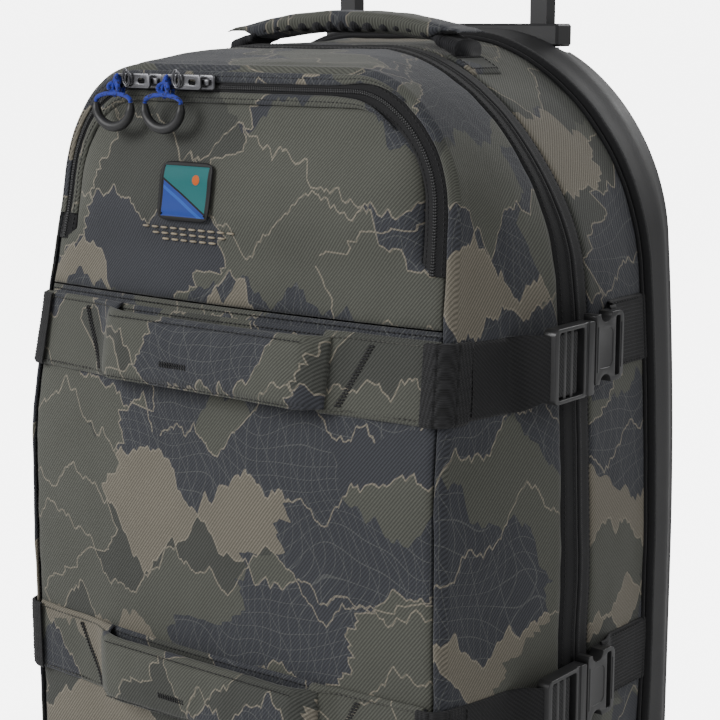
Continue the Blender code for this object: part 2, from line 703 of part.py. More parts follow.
def make_housing(name, side):
    """Arch over the wheel with a plate on its inner side."""
    def arch(radius, drop, depths):
        turns = [math.pi * i / 16 for i in range(17)]
        flat = [(radius * math.cos(t), radius * math.sin(t)) for t in turns]
        flat = [(radius, -drop)] + flat + [(-radius, -drop)]
        return skin([[Vector((side * x, WHEEL_Y + y, WHEEL_R + z)) for y, z in flat] for x in depths])
    inner, outer = HOUSING_R
    housing = place("wheel_housing_" + name, arch(outer, 0.012, HOUSING_X), BLACK, 0.55)
    cut(housing, cutter("cut_housing_" + name, arch(inner, 0.030, (HOUSING_X[0] + 0.003, HOUSING_X[1] + 0.01))))


def make_foot():
    place("front_foot", soft_box((-FOOT_HALF, FOOT_Y[0], 0.0), (FOOT_HALF, FOOT_Y[1], BODY_BOTTOM - GAP), 0.004, 2),
          BLACK, 0.6)


def build():
    clear_scene()
    make_tub()
    make_piping()
    make_lid()
    make_liner()
    make_patch()
    for level, z in zip(("upper", "lower"), BAND_Z):
        make_bands(level, z)
        for name, side in (("right", 1), ("left", -1)):
            make_side_gear(level, z, side, name)
    make_top_handle()
    make_pulls()
    make_main_slider()
    make_handle()
    make_wheels()
    make_foot()


build()
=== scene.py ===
"""Rolling duffel bag: the visible model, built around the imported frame."""
import math

import bmesh
import bpy
from mathutils import Matrix, Vector, noise


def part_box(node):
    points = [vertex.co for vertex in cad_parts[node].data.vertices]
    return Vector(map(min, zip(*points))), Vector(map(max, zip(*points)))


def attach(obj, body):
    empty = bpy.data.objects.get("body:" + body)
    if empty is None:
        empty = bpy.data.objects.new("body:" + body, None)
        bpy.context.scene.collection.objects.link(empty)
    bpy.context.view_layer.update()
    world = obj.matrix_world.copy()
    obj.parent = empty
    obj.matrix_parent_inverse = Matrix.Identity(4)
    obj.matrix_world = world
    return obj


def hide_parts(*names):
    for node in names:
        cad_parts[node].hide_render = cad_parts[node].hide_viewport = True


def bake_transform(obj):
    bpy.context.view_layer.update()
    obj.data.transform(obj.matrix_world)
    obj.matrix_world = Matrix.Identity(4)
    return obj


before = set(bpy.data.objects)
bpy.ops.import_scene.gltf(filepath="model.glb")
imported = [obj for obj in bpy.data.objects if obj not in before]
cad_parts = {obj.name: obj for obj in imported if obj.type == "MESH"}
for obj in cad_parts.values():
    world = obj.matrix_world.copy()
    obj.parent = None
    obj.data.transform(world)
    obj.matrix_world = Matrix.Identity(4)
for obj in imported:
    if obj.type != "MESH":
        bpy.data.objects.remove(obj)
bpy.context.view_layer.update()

# The body's stations, as in the CAD: depth, half width, top, radius of the top corners, lean at the top.
STATIONS = (
    (-0.119, 0.1650, 0.576, 0.070, 0.000),
    (-0.060, 0.1760, 0.583, 0.100, 0.004),
    (-0.005, 0.1835, 0.587, 0.130, -0.015),
    (0.077, 0.1840, 0.590, 0.138, 0.000),
    (0.100, 0.1870, 0.600, 0.135, 0.000),
    (0.118, 0.1830, 0.597, 0.125, 0.000),
    (0.130, 0.1650, 0.580, 0.105, 0.000),
)
FRONT = STATIONS[0][0]
BODY_BOTTOM = 0.045
BOTTOM_RADIUS = 0.030
MIDDLE_Z = 0.310
HALF_HEIGHT = 0.266
BULGE = 0.010
TAPER = 1.1
TAPER_START = 0.26
LEAN_START = 0.43
LEAN_LENGTH = 0.145
FRONT_LEAN = 0.027
FRONT_LEAN_Z = (0.350, 0.506)
FRONT_LEAN_END = -0.060
SPLIT_Z = 0.0748
ZIP_SLIT = -0.005
POCKET_SEAM = 0.4365
BAND_Z = (0.408, 0.203)
LEVELS = tuple(zip(("upper", "lower"), BAND_Z))
SIDES = (("right", 1), ("left", -1))


def smooth(value):
    value = min(max(value, 0.0), 1.0)
    return value * value * (3.0 - 2.0 * value)


def mix(a, b, share):
    return a + (b - a) * share


def turns(count, closed=False):
    """Angles evenly round a circle, with a full turn at the end if closed."""
    return [2 * math.pi * i / count for i in range(count + closed)]


def squared(value, power):
    """A power that keeps the sign, which squares off a sine or a cosine."""
    return math.copysign(abs(value) ** power, value)


# The body's surface ---------------------------------------------------------------------------------

def section(y):
    if y <= STATIONS[0][0]:
        return STATIONS[0][1:]
    for low, high in zip(STATIONS, STATIONS[1:]):
        if y <= high[0]:
            share = (y - low[0]) / (high[0] - low[0])
            return tuple(mix(a, b, share) for a, b in zip(low[1:], high[1:]))
    return STATIONS[-1][1:]


def soft_section(y, reach=0.016):
    """The section with its corners between stations rounded off."""
    near, here, far = section(y - reach), section(y), section(y + reach)
    return tuple((a + 2 * b + c) / 4 for a, b, c in zip(near, here, far))


def taper(z):
    return 1.0 - TAPER * max(z - TAPER_START, 0.0) ** 2


def lean_share(z):
    return smooth((z - LEAN_START) / LEAN_LENGTH)


def front_lean(z):
    """A straight slope between two heights, with soft bends at both ends of it."""
    low, high = FRONT_LEAN_Z
    soft = 0.024

    def bend(d):
        return 0.0 if d < -soft else d if d > soft else (d + soft) ** 2 / (4 * soft)

    return FRONT_LEAN * (bend(z - low) - bend(z - high)) / (high - low)


def lean_at(y, z):
    ahead = min(max((FRONT_LEAN_END - y) / (FRONT_LEAN_END - FRONT), 0.0), 1.0)
    return soft_section(y)[3] * lean_share(z) + ahead * front_lean(z)


def front_y(x, z):
    half = section(FRONT)[0]
    across = 1.0 - min(abs(x) / half, 1.0) ** 2
    up = 1.0 - min(abs(z - MIDDLE_Z) / HALF_HEIGHT, 1.0) ** 2
    return FRONT + front_lean(z) - BULGE * across * up


def side_x(y, z):
    return soft_section(y)[0] * taper(z)


def arch_outline(y, inset, low, steps=(64, 40, 30)):
    """From the right side at height low, up over the top and down to the left, in X and Z."""
    half, top, radius, _lean = soft_section(y)
    half, top, radius = half - inset, top - inset, radius - inset
    sides, corner, across = steps
    shoulder = top - radius
    right = [(half, mix(low, shoulder, i / sides)) for i in range(sides)]
    for i in range(corner):
        turn = math.pi / 2 * i / corner
        right.append((half - radius + radius * math.cos(turn), shoulder + radius * math.sin(turn)))
    flat = half - radius
    over = [(mix(flat, -flat, i / across), top) for i in range(across + 1)]
    left = [(-x, z) for x, z in reversed(right)]
    return [(x * taper(z), z) for x, z in right + over + left]


def floor_outline(y, inset, high, steps=(6, 12, 30)):
    """From the left side at height high, down round the bottom and up to the right."""
    half = soft_section(y)[0] - inset
    radius = BOTTOM_RADIUS - inset
    bottom = BODY_BOTTOM + inset
    sides, corner, across = steps
    left = [(-half, mix(high, bottom + radius, i / sides)) for i in range(sides)]
    for i in range(corner):
        turn = math.pi / 2 * i / corner
        left.append((-half + radius - radius * math.cos(turn), bottom + radius - radius * math.sin(turn)))
    flat = half - radius
    under = [(mix(-flat, flat, i / across), bottom) for i in range(across + 1)]
    right = [(-x, z) for x, z in reversed(left)]
    return left + under + right


def leaned(y, flat):
    return [Vector((x, y + lean_at(y, z), z)) for x, z in flat]


# Mesh building --------------------------------------------------------------------------------------

def grid_normals(grid, wrap=False):
    rows, columns = len(grid), len(grid[0])
    out = []
    for i in range(rows):
        line = []
        for j in range(columns):
            up = grid[min(i + 1, rows - 1)][j] - grid[max(i - 1, 0)][j]
            if wrap:
                along = grid[i][(j + 1) % columns] - grid[i][j - 1]
            else:
                along = grid[i][min(j + 1, columns - 1)] - grid[i][max(j - 1, 0)]
            line.append(along.cross(up).normalized())
        out.append(line)
    return out


def lifted(grid, height, wrap=False):
    """Moves each point along its normal by height(i, j, point)."""
    normals = grid_normals(grid, wrap)
    return [[p + n * height(i, j, p) for j, (p, n) in enumerate(zip(row, line))]
            for i, (row, line) in enumerate(zip(grid, normals))]


def mesh_object(name, vertices, faces, material, uvs=None, smooth_angle=None):
    mesh = bpy.data.meshes.new(name)
    mesh.from_pydata([tuple(v) for v in vertices], [], faces)
    if uvs is not None:
        layer = mesh.uv_layers.new(name="print")
        for loop in mesh.loops:
            layer.data[loop.index].uv = uvs[loop.vertex_index]
    mesh.shade_smooth()
    if smooth_angle:
        mesh.set_sharp_from_angle(angle=math.radians(smooth_angle))
    thing = bpy.data.objects.new(name, mesh)
    bpy.context.scene.collection.objects.link(thing)
    mesh.materials.append(material)
    return thing


def grid_object(name, grid, uv, material, wrap=False, smooth_angle=None):
    """A surface over a grid of points. uv(i, j, point) gives the print's coordinates in metres."""
    rows, columns = len(grid), len(grid[0])
    vertices = [p for row in grid for p in row]
    uvs = [uv(i, j, grid[i][j]) for i in range(rows) for j in range(columns)]
    faces = []
    for i in range(rows - 1):
        for j in range(columns if wrap else columns - 1):
            k = (j + 1) % columns
            faces.append((i * columns + j, i * columns + k, (i + 1) * columns + k, (i + 1) * columns + j))
    return mesh_object(name, vertices, faces, material, uvs, smooth_angle)


def thicken(thing, thickness, inner=None):
    """Gives a surface its thickness, inwards. The inner side can have a material of its own."""
    modifier = thing.modifiers.new("thickness", "SOLIDIFY")
    modifier.thickness = thickness
    modifier.offset = -1.0
    if inner is not None:
        thing.data.materials.append(inner)
        modifier.material_offset = 1
    return thing


def baked(thing):
    """Applies the modifiers."""
    depsgraph = bpy.context.evaluated_depsgraph_get()
    mesh = bpy.data.meshes.new_from_object(thing.evaluated_get(depsgraph))
    thing.modifiers.clear()
    thing.data = mesh
    return thing


def recalculated(thing):
    """Turns every face outwards."""
    bm = bmesh.new()
    bm.from_mesh(thing.data)
    bmesh.ops.recalc_face_normals(bm, faces=bm.faces)
    bm.to_mesh(thing.data)
    bm.free()
    return thing


def clipped(thing, *cutters):
    """Cuts each closed cutter out of a piece, and removes the cutters."""
    for tool in cutters:
        modifier = thing.modifiers.new("cut", "BOOLEAN")
        modifier.operation = "DIFFERENCE"
        modifier.object = tool
        modifier.solver = "EXACT"
    baked(thing)
    for tool in cutters:
        bpy.data.objects.remove(tool)
    return thing


def fitted(thing, body, node=None):
    """Attaches a piece to the body it rides with, and hides the CAD node it stands for, if one is given."""
    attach(thing, body)
    if node:
        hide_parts(node)
    return thing


def bent_box(name, size, place, material, bevel=0.0, segments=3):
    """A box with rounded edges."""
    bm = bmesh.new()
    bmesh.ops.create_cube(bm, size=1.0)
    bmesh.ops.scale(bm, verts=bm.verts, vec=size)
    if bevel:
        bmesh.ops.bevel(bm, geom=bm.edges[:], offset=bevel, segments=segments, affect="EDGES", profile=0.5)
    bmesh.ops.translate(bm, verts=bm.verts, vec=place)
    mesh = bpy.data.meshes.new(name)
    bm.to_mesh(mesh)
    bm.free()
    mesh.shade_smooth()
    mesh.set_sharp_from_angle(angle=math.radians(40.0))
    thing = bpy.data.objects.new(name, mesh)
    bpy.context.scene.collection.objects.link(thing)
    mesh.materials.append(material)
    return thing


def sweep(sections):
    """Vertices and faces of sections placed along a path, with both ends filled."""
    columns = len(sections[0])
    vertices = [p for ring in sections for p in ring]
    faces = []
    for i in range(len(sections) - 1):
        for j in range(columns):
            k = (j + 1) % columns
            faces.append((i * columns + j, i * columns + k, (i + 1) * columns + k, (i + 1) * columns + j))
    faces.append(tuple(reversed(range(columns))))
    last = (len(sections) - 1) * columns
    faces.append(tuple(last + j for j in range(columns)))
    return vertices, faces


def resample(path, step):
    """Points evenly spaced along a path, with their distance from its start."""
    lengths = [0.0]
    for a, b in zip(path, path[1:]):
        lengths.append(lengths[-1] + (b - a).length)
    count = max(int(lengths[-1] / step), 1)
    out, k = [], 0
    for i in range(count + 1):
        target = lengths[-1] * i / count
        while k < len(path) - 2 and lengths[k + 1] < target:
            k += 1
        span = max(lengths[k + 1] - lengths[k], 1e-9)
        out.append(path[k].lerp(path[k + 1], (target - lengths[k]) / span))
    return out


def stitches(name, paths, material, body, pitch=0.0034, length=0.0024, radius=0.00030, lift=0.0001,
             slant=0.0):
    """Sewn thread along paths of (point, normal) pairs: one small rounded stitch after another."""
    vertices, faces = [], []
    for path in paths:
        points = [p for p, n in path]
        normals = [n for p, n in path]
        distance = [0.0]
        for a, b in zip(points, points[1:]):
            distance.append(distance[-1] + (b - a).length)
        k = 0
        start = pitch / 2
        while start < distance[-1]:
            while k < len(points) - 2 and distance[k + 1] < start:
                k += 1
            share = (start - distance[k]) / max(distance[k + 1] - distance[k], 1e-9)
            centre = points[k].lerp(points[k + 1], share)
            along = (points[k + 1] - points[k]).normalized()
            normal = normals[k].lerp(normals[k + 1], share).normalized()
            side = along.cross(normal).normalized()
            if slant:
                along = (along * math.cos(slant) + side * math.sin(slant)).normalized()
                side = along.cross(normal).normalized()
            base = len(vertices)
            centre = centre + normal * lift
            profile = ((-0.5, 0.25, -0.6), (-0.34, 0.9, 0.0), (0.0, 1.0, 0.5), (0.34, 0.9, 0.0),
                       (0.5, 0.25, -0.6))
            for at, size, up in profile:
                for turn in range(6):
                    angle = math.pi / 3 * turn
                    vertices.append(centre + along * (at * length)
                                    + side * (radius * 1.25 * size * math.cos(angle))
                                    + normal * (radius * (size * math.sin(angle) + up)))
            for ring in range(len(profile) - 1):
                for turn in range(6):
                    nxt = (turn + 1) % 6
                    a = base + ring * 6
                    faces.append((a + turn, a + nxt, a + 6 + nxt, a + 6 + turn))
            faces.append(tuple(base + t for t in reversed(range(6))))
            faces.append(tuple(base + (len(profile) - 1) * 6 + t for t in range(6)))
            start += pitch
    thing = mesh_object(name, vertices, faces, material)
    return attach(thing, body)


# Materials ------------------------------------------------------------------------------------------

class Shade:
    """A material's node tree, with short names for the nodes that these materials use."""

    def __init__(self, name, colour=(0.5, 0.5, 0.5), roughness=0.5, metallic=0.0, specular=0.5, sheen=0.0,
                 coat=0.0):
        self.material = bpy.data.materials.new(name)
        self.material.use_nodes = True
        self.tree = self.material.node_tree
        self.shader = self.tree.nodes["Principled BSDF"]
        self.set("Base Color", (*colour, 1.0))
        self.set("Roughness", roughness)
        self.set("Metallic", metallic)
        self.set("Specular IOR Level", specular)
        self.set("Sheen Weight", sheen)
        self.set("Sheen Roughness", 0.4)
        self.set("Coat Weight", coat)

    def set(self, socket, value):
        if isinstance(value, bpy.types.NodeSocket):
            self.tree.links.new(value, self.shader.inputs[socket])
        else:
            self.shader.inputs[socket].default_value = value

    def node(self, kind, inputs=(), **settings):
        node = self.tree.nodes.new(kind)
        for key, value in settings.items():
            setattr(node, key, value)
        for key, value in dict(inputs).items():
            if isinstance(value, bpy.types.NodeSocket):
                self.tree.links.new(value, node.inputs[key])
            else:
                node.inputs[key].default_value = value
        return node

    def math(self, operation, a, b=0.0, c=0.0):
        inputs = {0: a, 1: b, 2: c}
        return self.node("ShaderNodeMath", inputs, operation=operation).outputs[0]

    def mul(self, a, b):
        return self.math("MULTIPLY", a, b)

    def add(self, a, b):
        return self.math("ADD", a, b)

    def sub(self, a, b):
        return self.math("SUBTRACT", a, b)

    def div(self, a, b):
        return self.math("DIVIDE", a, b)

    def mad(self, a, b, c):
        """a times b, plus c."""
        return self.math("MULTIPLY_ADD", a, b, c)

    def above(self, a, b):
        return self.math("GREATER_THAN", a, b)

    def below(self, a, b):
        return self.math("LESS_THAN", a, b)

    def ramp(self, value, low, high, out_low=0.0, out_high=1.0):
        node = self.node("ShaderNodeMapRange", {0: value, 1: low, 2: high, 3: out_low, 4: out_high})
        node.clamp = True
        return node.outputs[0]

    def vector(self, x, y, z=0.0):
        return self.node("ShaderNodeCombineXYZ", {0: x, 1: y, 2: z}).outputs[0]

    def split(self, vector):
        node = self.node("ShaderNodeSeparateXYZ", {0: vector})
        return node.outputs[0], node.outputs[1], node.outputs[2]

    def print_uv(self):
        return self.split(self.node("ShaderNodeUVMap", uv_map="print").outputs[0])[:2]

    def place(self):
        return self.node("ShaderNodeTexCoord").outputs["Object"]

    def noise(self, vector, scale, detail=3.0, roughness=0.5, kind="3D"):
        node = self.node("ShaderNodeTexNoise", {"Vector": vector, "Scale": scale, "Detail": detail,
                                                "Roughness": roughness}, noise_dimensions=kind)
        return node.outputs[0]

    def blend(self, share, a, b, kind="MIX"):
        node = self.node("ShaderNodeMix", data_type="RGBA", blend_type=kind)
        for index, value in ((0, share), (6, a), (7, b)):
            if isinstance(value, bpy.types.NodeSocket):
                self.tree.links.new(value, node.inputs[index])
            else:
                node.inputs[index].default_value = value if index == 0 else (*value, 1.0)
        return node.outputs[2]

    def bump(self, height, distance=0.0005, strength=1.0, normal=None):
        inputs = {"Height": height, "Distance": distance, "Strength": strength}
        if normal is not None:
            inputs["Normal"] = normal
        return self.node("ShaderNodeBump", inputs).outputs[0]


def ridge_group():
    """Jagged 1D mountain line: straight stretches between random heights, in three sizes."""
    group = bpy.data.node_groups.new("ridge line", "ShaderNodeTree")
    for name in ("Along", "Layer", "Peak"):
        group.interface.new_socket(name, in_out="INPUT", socket_type="NodeSocketFloat")
    group.interface.new_socket("Height", in_out="OUTPUT", socket_type="NodeSocketFloat")
    nodes, links = group.nodes, group.links
    source = nodes.new("NodeGroupInput")
    target = nodes.new("NodeGroupOutput")

    def maths(operation, a, b=0.0, c=0.0):
        node = nodes.new("ShaderNodeMath")
        node.operation = operation
        for index, value in enumerate((a, b, c)):
            if isinstance(value, bpy.types.NodeSocket):
                links.new(value, node.inputs[index])
            else:
                node.inputs[index].default_value = value
        return node.outputs[0]

    total = None
    for octave, (ratio, weight) in enumerate(((1.0, 0.60), (2.7, 0.25), (7.1, 0.10), (17.0, 0.05))):
        at = maths("ADD", maths("DIVIDE", maths("MULTIPLY", source.outputs["Along"], ratio),
                                source.outputs["Peak"]), 13.7 * octave + 100)
        cell = maths("FLOOR", at)
        share = maths("SUBTRACT", at, cell)
        ends = []
        for step in (0.0, 1.0):
            spot = nodes.new("ShaderNodeCombineXYZ")
            links.new(maths("ADD", cell, step), spot.inputs[0])
            links.new(maths("ADD", source.outputs["Layer"], 31.0 * octave), spot.inputs[1])
            white = nodes.new("ShaderNodeTexWhiteNoise")
            white.noise_dimensions = "2D"
            links.new(spot.outputs[0], white.inputs["Vector"])
            ends.append(white.outputs["Value"])
        line = maths("MULTIPLY_ADD", maths("SUBTRACT", ends[1], ends[0]), share, ends[0])
        total = maths("MULTIPLY_ADD", line, weight, 0.0 if total is None else total)
    links.new(maths("MULTIPLY_ADD", maths("SUBTRACT", total, 0.5), 1.55, 0.5), target.inputs["Height"])
    return group


RIDGE = ridge_group()
OLIVE = (0.074, 0.076, 0.064)
DEEP_OLIVE = (0.050, 0.052, 0.046)
CHARCOAL = (0.037, 0.039, 0.046)
KHAKI = (0.150, 0.136, 0.108)
LINE = (0.235, 0.210, 0.165)


def camo(name, shift=(0.0, 0.0)):
    """Layered jagged ridges in olive, charcoal and khaki, with fine outlines, on a diagonal twill."""
    shade = Shade(name, roughness=0.82, specular=0.30, sheen=0.18)
    u, v = shade.print_uv()
    u = shade.add(u, shift[0])
    v = shade.add(v, shift[1])

    def ridges(along, height, period, reach, peak, seed):
        """Layer number, distance from the ridge line, and a random value for the layer's line."""
        at = shade.div(height, period)
        base = shade.math("FLOOR", at)
        up = shade.mul(shade.sub(at, base), period)
        layer = shade.add(base, seed)
        heights = []
        for step in (0.0, 0.0006):
            node = shade.node("ShaderNodeGroup", node_tree=RIDGE)
            shade.tree.links.new(shade.add(along, step), node.inputs["Along"])
            shade.tree.links.new(layer, node.inputs["Layer"])
            node.inputs["Peak"].default_value = peak
            heights.append(shade.mul(node.outputs[0], reach))
        slope = shade.div(shade.sub(heights[1], heights[0]), 0.0006)
        steep = shade.math("SQRT", shade.mad(slope, slope, 1.0))
        gap = shade.sub(up, heights[0])
        over = shade.above(gap, 0.0)
        distance = shade.div(shade.math("ABSOLUTE", gap), steep)
        pick = shade.node("ShaderNodeTexWhiteNoise", {"W": shade.mul(layer, 3.31)},
                          noise_dimensions="1D").outputs["Value"]
        return shade.add(layer, over), distance, pick

    swell = shade.noise(shade.vector(u, 0.31), 6.5, 1.0)
    heave = shade.noise(shade.vector(u, 7.73), 8.5, 1.0)
    high_first = shade.mad(swell, 0.20, v)
    high_second = shade.mad(heave, -0.19, v)
    first, near_first, pick_first = ridges(u, high_first, 0.058, 0.056, 0.040, 3.0)
    second, near_second, pick_second = ridges(u, high_second, 0.077, 0.074, 0.050, 57.0)
    along_third = shade.mad(u, 0.45, shade.mul(v, 0.89))
    high_third = shade.mad(u, 0.89, shade.mul(v, -0.45))
    third, near_third, pick_third = ridges(along_third, high_third, 0.115, 0.070, 0.045, 91.0)
    code = shade.mad(first, 7.13, shade.mad(third, 11.9, shade.mul(second, 3.77)))
    pick = shade.node("ShaderNodeTexWhiteNoise", {"W": code}, noise_dimensions="1D").outputs["Value"]
    colour = shade.blend(shade.above(pick, 0.36), OLIVE, CHARCOAL)
    colour = shade.blend(shade.above(pick, 0.75), colour, DEEP_OLIVE)
    colour = shade.blend(shade.above(pick, 0.88), colour, KHAKI)

    # Fine wire-frame lines over most of the dark patches, bending as they go
    dark = shade.mul(shade.above(pick, 0.36), shade.below(pick, 0.66))
    sway = shade.noise(shade.vector(u, v), 11.0, 1.0)
    roll = shade.noise(shade.vector(v, u), 13.0, 1.0)
    rows = shade.math("FRACT", shade.div(shade.mad(roll, 0.075, v), 0.0098))
    across = shade.math("FRACT", shade.div(shade.mad(sway, 0.090, u), 0.0066))
    slant = shade.math("FRACT", shade.div(shade.mad(sway, 0.060, shade.mad(v, 0.55, u)), 0.0190))
    wires = shade.math("MAXIMUM", shade.below(rows, 0.055),
                       shade.below(across, 0.075))
    wires = shade.math("MAXIMUM", wires, shade.below(slant, 0.030))
    wires = shade.mul(shade.mul(wires, dark), 0.36)
    colour = shade.blend(wires, colour, (0.135, 0.140, 0.132))

    # Ridge outlines, on most of the layers
    line = shade.mul(shade.below(near_first, 0.00050),
                      shade.above(pick_first, 0.30))
    other = shade.mul(shade.below(near_second, 0.00050),
                       shade.above(pick_second, 0.55))
    flank = shade.mul(shade.below(near_third, 0.00050),
                       shade.above(pick_third, 0.45))
    line = shade.math("MAXIMUM", shade.math("MAXIMUM", line, other), flank)
    line = shade.mul(line, 0.66)
    colour = shade.blend(line, colour, LINE)

    # Twill: diagonal rows of raised threads, with each thread crossing the rows
    diagonal = shade.mul(shade.add(shade.mul(v, -0.80), u),
                          2 * math.pi / 0.0022)
    crossing = shade.mul(shade.mad(v, 1.3, u), 2 * math.pi / 0.0012)
    rows = shade.mad(shade.math("SINE", diagonal), 0.5, 0.5)
    threads = shade.mad(shade.math("SINE", crossing), 0.5, 0.5)
    weave = shade.mad(threads, 0.35, shade.mul(rows, 0.65))
    fleck = shade.noise(shade.vector(u, v), 900.0, 2.0, 0.7)
    cloudy = shade.noise(shade.vector(u, v), 14.0, 3.0)
    level = shade.ramp(weave, 0.05, 0.95, 0.56, 1.40)
    level = shade.mul(level, shade.ramp(fleck, 0.3, 0.7, 0.86, 1.14))
    level = shade.mul(level, shade.ramp(cloudy, 0.3, 0.7, 0.93, 1.07))
    colour = shade.blend(1.0, colour, shade.vector(level, level, level), "MULTIPLY")
    shade.set("Base Color", colour)
    shade.set("Roughness", shade.ramp(weave, 0.0, 1.0, 0.92, 0.74))
    height = shade.mad(fleck, 0.3, weave)
    shade.set("Normal", shade.bump(height, 0.00022, 0.8))
    return shade.material


def woven(name, colour, along=0.0011, across=0.0011, contrast=0.5, roughness=0.85, depth=0.0002, skew=0.0,
          sheen=0.1):
    """Plain or ribbed cloth over the print coordinates, with the threads in both directions."""
    shade = Shade(name, colour, roughness, specular=0.3, sheen=sheen)
    u, v = shade.print_uv()
    first = shade.math("SINE", shade.mul(shade.mad(v, skew, u),
                                          2 * math.pi / along))
    second = shade.math("SINE", shade.mul(shade.mad(u, -skew, v),
                                           2 * math.pi / across))
    weave = shade.mad(shade.mul(first, second), 0.25,
                       shade.mad(first, 0.25, 0.5))
    fuzz = shade.noise(shade.vector(u, v), 700.0, 2.0, 0.7)
    level = shade.mul(shade.ramp(weave, 0.0, 1.0, 1.0 - contrast, 1.0 + contrast),
                       shade.ramp(fuzz, 0.3, 0.7, 0.8, 1.2))
    shade.set("Base Color", shade.blend(1.0, colour, shade.vector(level, level, level), "MULTIPLY"))
    shade.set("Roughness", shade.ramp(fuzz, 0.3, 0.7, roughness - 0.08, roughness + 0.08))
    shade.set("Normal", shade.bump(shade.mad(fuzz, 0.3, weave), depth, 0.8))
    return shade.material


def moulded(name, colour, roughness=0.45, grain=1800.0, depth=0.00004, wear=0.25, metallic=0.0, specular=0.5,
            coat=0.0):
    """Moulded or painted surface with fine grain, soft patches of wear and faint scratches."""
    shade = Shade(name, colour, roughness, metallic, specular, coat=coat)
    place = shade.place()
    fine = shade.noise(place, grain, 3.0, 0.6)
    patch = shade.noise(place, 35.0, 4.0, 0.6)
    stretched = shade.node("ShaderNodeMapping", {"Vector": place, "Scale": (90.0, 90.0, 900.0),
                                                 "Rotation": (0.3, 0.5, 0.2)}).outputs[0]
    scratch = shade.ramp(shade.noise(stretched, 1.0, 4.0, 0.7), 0.66, 0.72)
    level = shade.mul(shade.ramp(patch, 0.3, 0.7, 1.0 - wear * 0.6, 1.0 + wear * 0.6),
                       shade.ramp(fine, 0.3, 0.7, 1.0 - wear * 0.4, 1.0 + wear * 0.4))
    level = shade.mad(scratch, wear, level)
    shade.set("Base Color", shade.blend(1.0, colour, shade.vector(level, level, level), "MULTIPLY"))
    rough = shade.mad(shade.sub(patch, 0.5), 0.25, roughness)
    shade.set("Roughness", shade.mad(scratch, 0.12, rough))
    shade.set("Normal", shade.bump(fine, depth, 0.7))
    return shade.material


# Camera, light and floor ----------------------------------------------------------------------------

def make_camera():
    data = bpy.data.cameras.new("camera")
    data.lens = 90.0
    data.sensor_width = 36.0
    camera = bpy.data.objects.new("camera", data)
    camera.location = (0.7118, -0.8902, 0.6028)
    camera.rotation_euler = (math.radians(90.0 - 10.7), 0.0, math.radians(38.0))
    bpy.context.scene.collection.objects.link(camera)
    bpy.context.scene.camera = camera


AMBIENT = 0.43
BACKDROP = 6.0
FLOOR_GLOW = 5.6


def area_light(name, place, target, size, power, tint=(1.0, 1.0, 1.0)):
    data = bpy.data.lights.new(name, "AREA")
    data.shape = "RECTANGLE"
    data.size, data.size_y = size
    data.energy = power
    data.color = tint
    lamp = bpy.data.objects.new(name, data)
    lamp.location = place
    lamp.rotation_euler = (Vector(target) - Vector(place)).to_track_quat("-Z", "Y").to_euler()
    bpy.context.scene.collection.objects.link(lamp)


def make_studio():
    floor_paint = Shade("floor", (0.80, 0.80, 0.80), 0.9, specular=0.1)
    floor_paint.set("Emission Color", (1.0, 1.0, 1.0, 1.0))
    seen = floor_paint.node("ShaderNodeLightPath").outputs["Is Camera Ray"]
    # The floor glows evenly for the camera, and ambient occlusion darkens that glow near the bag: a painted
    # contact shadow.
    painted_contact_shadow = floor_paint.node("ShaderNodeAmbientOcclusion", {"Distance": 0.30}).outputs["AO"]
    glow_with_painted_shadow = floor_paint.mul(floor_paint.math("POWER", painted_contact_shadow, 3.0), FLOOR_GLOW)
    floor_paint.set("Emission Strength", floor_paint.mul(seen, glow_with_painted_shadow))
    floor = mesh_object("floor", [(-60, -60, 0), (60, -60, 0), (60, 60, 0), (-60, 60, 0)], [(0, 1, 2, 3)],
                        floor_paint.material)
    world = bpy.data.worlds.new("studio")
    world.use_nodes = True
    tree = world.node_tree
    back = tree.nodes["Background"]
    back.inputs["Color"].default_value = (1.0, 1.0, 1.0, 1.0)
    rays = tree.nodes.new("ShaderNodeLightPath")
    level = tree.nodes.new("ShaderNodeMapRange")
    tree.links.new(rays.outputs["Is Camera Ray"], level.inputs[0])
    level.inputs[3].default_value = AMBIENT
    level.inputs[4].default_value = BACKDROP
    tree.links.new(level.outputs[0], back.inputs["Strength"])
    bpy.context.scene.world = world
    middle = (0.0, 0.0, 0.45)
    area_light("key", (-1.3, -2.2, 1.7), middle, (1.5, 1.5), 68.0)
    area_light("side", (2.4, -0.2, 1.9), middle, (1.2, 1.2), 13.0)
    area_light("rim", (0.6, 2.4, 2.0), middle, (1.6, 1.2), 28.0)


# Zip pulls: sliders, tabs, cord and grips -----------------------------------------------------------

PULLS = (("left", -0.066), ("right", -0.024))
PULL_Z = 0.5665
TAB_LENGTH = 0.028
TAB_Y = -0.1010
CORD_Y = -0.1048
CORD_R = 0.00135
GRIP_R = 0.0028
GRIP_HALF = 0.0150
GRIP_TOP = 0.553
CORD_TOP = 0.5586


def cord_loop(x):
    """From one end of the grip, up under the tab and down to the grip's other end."""
    points = []
    for i in range(25):
        share = i / 12 - 1
        height = GRIP_TOP + 0.0003 + (CORD_TOP - GRIP_TOP - 0.0003) * math.cos(share * math.pi / 2) ** 0.8
        points.append(Vector((x + GRIP_HALF * math.sin(share * math.pi / 2), CORD_Y, height)))
    return points


def curve_tube(name, points, radius, material, taper=None, resolution=6):
    curve = bpy.data.curves.new(name, "CURVE")
    curve.dimensions = "3D"
    curve.bevel_depth = radius
    curve.bevel_resolution = resolution
    curve.use_fill_caps = True
    spline = curve.splines.new("POLY")
    spline.points.add(len(points) - 1)
    for i, (knot, point) in enumerate(zip(spline.points, points)):
        knot.co = (*point, 1.0)
        knot.radius = taper(i / (len(points) - 1)) if taper else 1.0
    curve.materials.append(material)
    thing = bpy.data.objects.new(name, curve)
    bpy.context.scene.collection.objects.link(thing)
    return thing


